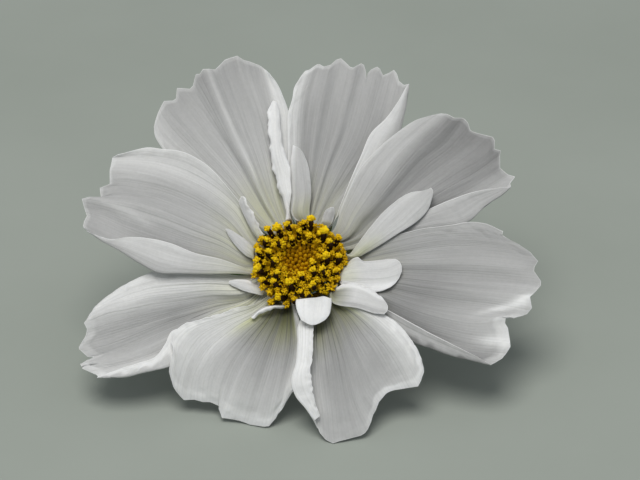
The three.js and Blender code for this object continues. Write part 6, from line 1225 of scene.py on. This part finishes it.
def lobes(build, e, axis, reach, wide, rnd, shade, open_out=0.75):
    """Five fleshy corolla lobes round a throat."""
    axis = axis / np.linalg.norm(axis)
    A, B = across(axis)
    spin = rnd.uniform(0, 6.28)
    for k in range(5):
        q = spin + k * 1.2566 + rnd.uniform(-0.12, 0.12)
        out = math.cos(q) * A + math.sin(q) * B
        tip = out * open_out + axis * rnd.uniform(0.55, 0.9)
        tip /= np.linalg.norm(tip)
        at = e + out * reach * 0.62 + axis * 0.10
        blob(build, at, tip, wide, reach * rnd.uniform(1.15, 1.5), rnd.uniform(0, 9), 0,
             shade + rnd.uniform(-0.14, 0.14), 0.16, 8, 6, taper=0.35)


def line_at(P):
    d = np.concatenate([[0], np.cumsum(np.linalg.norm(np.diff(P, axis=0), axis=1))])
    return d[-1], lambda s: np.stack([np.interp(s, d, P[:, c]) for c in range(3)], 1)


def seen(a, b, h):
    return np.array([a, 0.940 * b + 0.342 * h])


rng = np.random.default_rng(7)
heads, tubes = [], []
# bright is partly painted light and shade: it lightens lit florets and darkens shaded ones
for i, (a, b, h, a2, b2, h2, size, bright, kind) in enumerate(FLORETS):
    r = math.hypot(a, b)
    ang = math.atan2(b2, a2)
    rb = min(0.66 * math.hypot(a2, b2), 4.7)
    hb = 0.15 + 0.85 * (1 - (rb / 5.2) ** 2)
    base = to_world([rb * math.cos(ang), rb * math.sin(ang), hb])
    mid, tip = to_world([a2, b2, h2]), to_world([a, b, h])
    out = piece_for(r)
    P = spine(base, mid, tip, 40)
    L, at = line_at(P)
    spin = rng.uniform(0, 6.28)
    ax = P[-1] - P[-6]
    ax = ax / np.linalg.norm(ax)
    heads.append((seen(a, b, h), size))
    if kind in ("o", "r"):
        tubes.append(seen(a2, b2, h2 + 0.2))
        top = L - 0.25 * size
        open_at = max(0.25 * L, top - 1.95)
        corolla(out, at(np.linspace(0, open_at, 7)), 0.28, 0.46, 0.30, i, 0.25 + 0.35 * bright, spin)
        lobes(out, P[int(40 * open_at / L) - 1], ax, 0.50, 0.34, rng, 0.30 + 0.35 * bright, 1.1)
        ss = np.linspace(open_at - 0.25, top + 0.15, 9)
        rr = np.interp(np.linspace(0, 1, 9), [0, 0.15, 0.8, 1], [0.34, 0.40, 0.43, 0.36])
        tube(out, at(ss), rr * (0.88 + 0.10 * size), 15, 1, 0.5,
             star=lambda k, q: 1 + 0.10 * np.cos(5 * q), spin=spin)
        c0 = tip - 0.05 * size * ax
        if kind == "o":
            cluster(out, c0 + 0.06 * ax, ax, size * 0.92, size * 0.88, 16 if size > 1.35 else 12, bright, 2, rng, -0.3)
        else:
            lobes(out, c0 - 0.1 * ax, ax, 0.80, 0.46, rng, 0.62, 0.9)
            lobes(out, c0 - 0.3 * ax, ax, 0.95, 0.40, rng, 0.50, 1.2)
    else:
        corolla(out, at(np.linspace(0, L - 0.25 * size, 8)), 0.26, 0.34 * size, 0.25 * size, i, 0.2 + 0.4 * bright, spin, 0.8)
        e = tip - 0.18 * size * ax
        lobes(out, e, ax, 0.50 * size, 0.36 * size, rng, 0.12 + 0.80 * bright, 0.85)
        if i % 3:
            cluster(out, tip - 0.05 * size * ax, ax, size * 0.56, size * 0.60, 5, 0.05 + 0.85 * bright, 2, rng, -0.1)
        else:
            blob(out, e + 0.04 * ax, ax, size * 0.40, size * 0.20, i, 1, 0.6, 0.1, 8, 5)

# shorter florets that fill the head between the open ones, and a low whorl round its foot
golden = math.pi * (3 - math.sqrt(5))
fill = []
for k in range(150):
    r = math.sqrt(2.9 ** 2 + (6.7 ** 2 - 2.9 ** 2) * (k + 0.5) / 150)
    t = k * golden + 0.4
    fill.append((r, t, float(np.interp(r, [2.9, 4.2, 5.4, 6.7], [3.9, 4.35, 4.2, 3.7])) + rng.uniform(-0.25, 0.3), rng.uniform(0.85, 1.1)))
for k in range(46):
    t = 2 * math.pi * k / 46 + rng.uniform(-0.05, 0.05)
    side = np.interp((math.degrees(t) + 360) % 360, [0, 45, 90, 135, 180, 225, 270, 315, 360], [7.5, 7.1, 6.5, 7.3, 7.8, 8.2, 8.2, 7.8, 7.5])
    fill.append((float(side) - 0.25 + rng.uniform(-0.2, 0.2), t, 3.35 + rng.uniform(-0.25, 0.35), rng.uniform(0.9, 1.15)))
for k in range(38):
    t = 2 * math.pi * (k + 0.4) / 38 + rng.uniform(-0.06, 0.06)
    side = np.interp((math.degrees(t) + 360) % 360, [0, 45, 90, 135, 180, 225, 270, 315, 360], [7.0, 6.7, 6.2, 6.8, 7.2, 7.6, 7.4, 7.2, 7.0])
    fill.append((float(side) - 0.5 + rng.uniform(-0.2, 0.2), t, 2.4 + rng.uniform(-0.3, 0.3), rng.uniform(0.9, 1.1)))
for n, (r, t, h, size) in enumerate(fill):
    a, b = r * math.cos(t), r * math.sin(t)
    deg = math.degrees(t) % 360
    if r > 5.6 and 250 < deg < 303:
        continue
    here = seen(a, b, h)
    if any(np.hypot(*(here - c)) < 0.74 for c in tubes) or any(np.hypot(*(here - c)) < 0.26 * s for c, s in heads):
        continue
    rb = min(0.68 * r, 4.75)
    hb = 0.10 + 0.85 * (1 - (rb / 5.2) ** 2)
    foot, top = to_world([rb * math.cos(t), rb * math.sin(t), hb]), to_world([a, b, h])
    P = spine(foot, to_world([0.86 * a, 0.86 * b, 0.55 * h + 0.45 * hb]), top, 24)
    L, at = line_at(P)
    ax = P[-1] - P[-4]
    ax = ax / np.linalg.norm(ax)
    out = piece_for(r)
    shade = rng.uniform(0.34, 0.66)
    kind = n % 4
    corolla(out, at(np.linspace(0, L - 0.2, 6)), 0.22, 0.32, 0.20, n, 0.6 * shade, rng.uniform(0, 6.28))
    if kind == 0:
        blob(out, top - 0.25 * ax, ax, 0.66 * size, 1.05 * size, n, 3, shade + 0.15, 0.14, 10, 8, taper=0.1)
    elif kind == 1:
        cluster(out, top - 0.15 * ax, ax, 0.78 * size, 0.80 * size, 6, shade, 2, rng)
    else:
        lobes(out, top - 0.25 * ax, ax, 0.46 * size, 0.36 * size, rng, shade + 0.10, 0.8)
        cluster(out, top - 0.12 * ax, ax, 0.46 * size, 0.5 * size, 4, shade, 2, rng, 0.0)

# closed buds in the middle, lower than the open florets
buds = rings_of["disc_florets_centre_buds"]
for k in range(64):
    r = 0.455 * math.sqrt(k + 0.5)
    t = k * golden
    p = np.array([r * math.cos(t) - 0.35, r * math.sin(t) - 0.25, 3.35 + 0.05 * r * r * 0.5 + rng.uniform(-0.12, 0.12)])
    top = to_world(p)
    foot = to_world([p[0] * 0.7, p[1] * 0.7, 0.8])
    P = np.linspace(0, 1, 10)[:, None] * (top - foot) + foot
    rr = np.array([0.20, 0.22, 0.24, 0.28, 0.33, 0.37, 0.40, 0.38, 0.27, 0.05])
    # painted shade: buds in the upper part of the hollow are darker, where the upper rim shades them, and those in the
    # lower part lighter
    shade = rng.uniform(0.34, 0.62) - 0.16 * float(smooth(0.2, 2.4, p[1])) + 0.16 * float(smooth(-0.4, -2.4, p[1]))
    # painted shade: each bud darkens toward its foot, down among the others
    grade = shade * np.array([0.2, 0.2, 0.25, 0.3, 0.4, 0.6, 0.85, 1.0, 1.1, 1.1])
    tube(buds, P, rr * rng.uniform(0.92, 1.10), 15, 3, grade, star=lambda i, q: 1 + 0.12 * np.cos(5 * q), spin=rng.uniform(0, 6))

for name, b in rings_of.items():
    if b.n:
        b.make(name + "_visual", FLORET_MATS, "bud_ochre" if "buds" in name else "floret_yellow", [name])


# ------------------------------------------------------------------------------------------------
# floor, light and camera
# ------------------------------------------------------------------------------------------------
def floor():
    me = bpy.data.meshes.new("floor")
    s = 3.0
    me.from_pydata([(-s, -s, 0), (s, -s, 0), (s, s, 0), (-s, s, 0)], [], [(0, 1, 2, 3)])
    o = bpy.data.objects.new("floor", me)
    bpy.context.scene.collection.objects.link(o)
    w = Nodes("floor_pale")
    tc = w.new("ShaderNodeTexCoord")
    n = w.noise(tc.outputs["Object"], 18.0, 4.0, 0.5)
    me.materials.append(w.finish(w.ramp(n, [(0.3, (0.315, 0.345, 0.305)), (0.7, (0.345, 0.375, 0.335))]), 0.85))


floor()


def area(name, at, aim, size, watts, colour):
    l = bpy.data.lights.new(name, "AREA")
    l.shape = "DISK"
    l.size = size
    l.energy = watts
    l.color = colour
    o = bpy.data.objects.new(name, l)
    o.location = at
    o.rotation_euler = (Vector(aim) - Vector(at)).to_track_quat("-Z", "Y").to_euler()
    bpy.context.scene.collection.objects.link(o)


area("key", (-0.10, -0.24, 0.92), (0, 0, 0.02), 0.60, 6.0, (1.0, 0.985, 0.96))
world = bpy.data.worlds.new("studio")
world.use_nodes = True
bg = world.node_tree.nodes["Background"]
bg.inputs["Color"].default_value = (0.90, 0.95, 1.0, 1.0)
bg.inputs["Strength"].default_value = 0.36
bpy.context.scene.world = world
bpy.context.scene.view_settings.view_transform = "Standard"

cam = bpy.data.cameras.new("camera")
cam.type = "PERSP"
cam.lens = 146.18
cam.sensor_width = 36.0
cam.clip_start = 0.01
cam.clip_end = 20.0
camera = bpy.data.objects.new("camera", cam)
camera.location = (0.001673, -0.37741, 0.27906)
camera.rotation_euler = (math.radians(55.0), 0.0, 0.0)
bpy.context.scene.collection.objects.link(camera)
bpy.context.scene.camera = camera
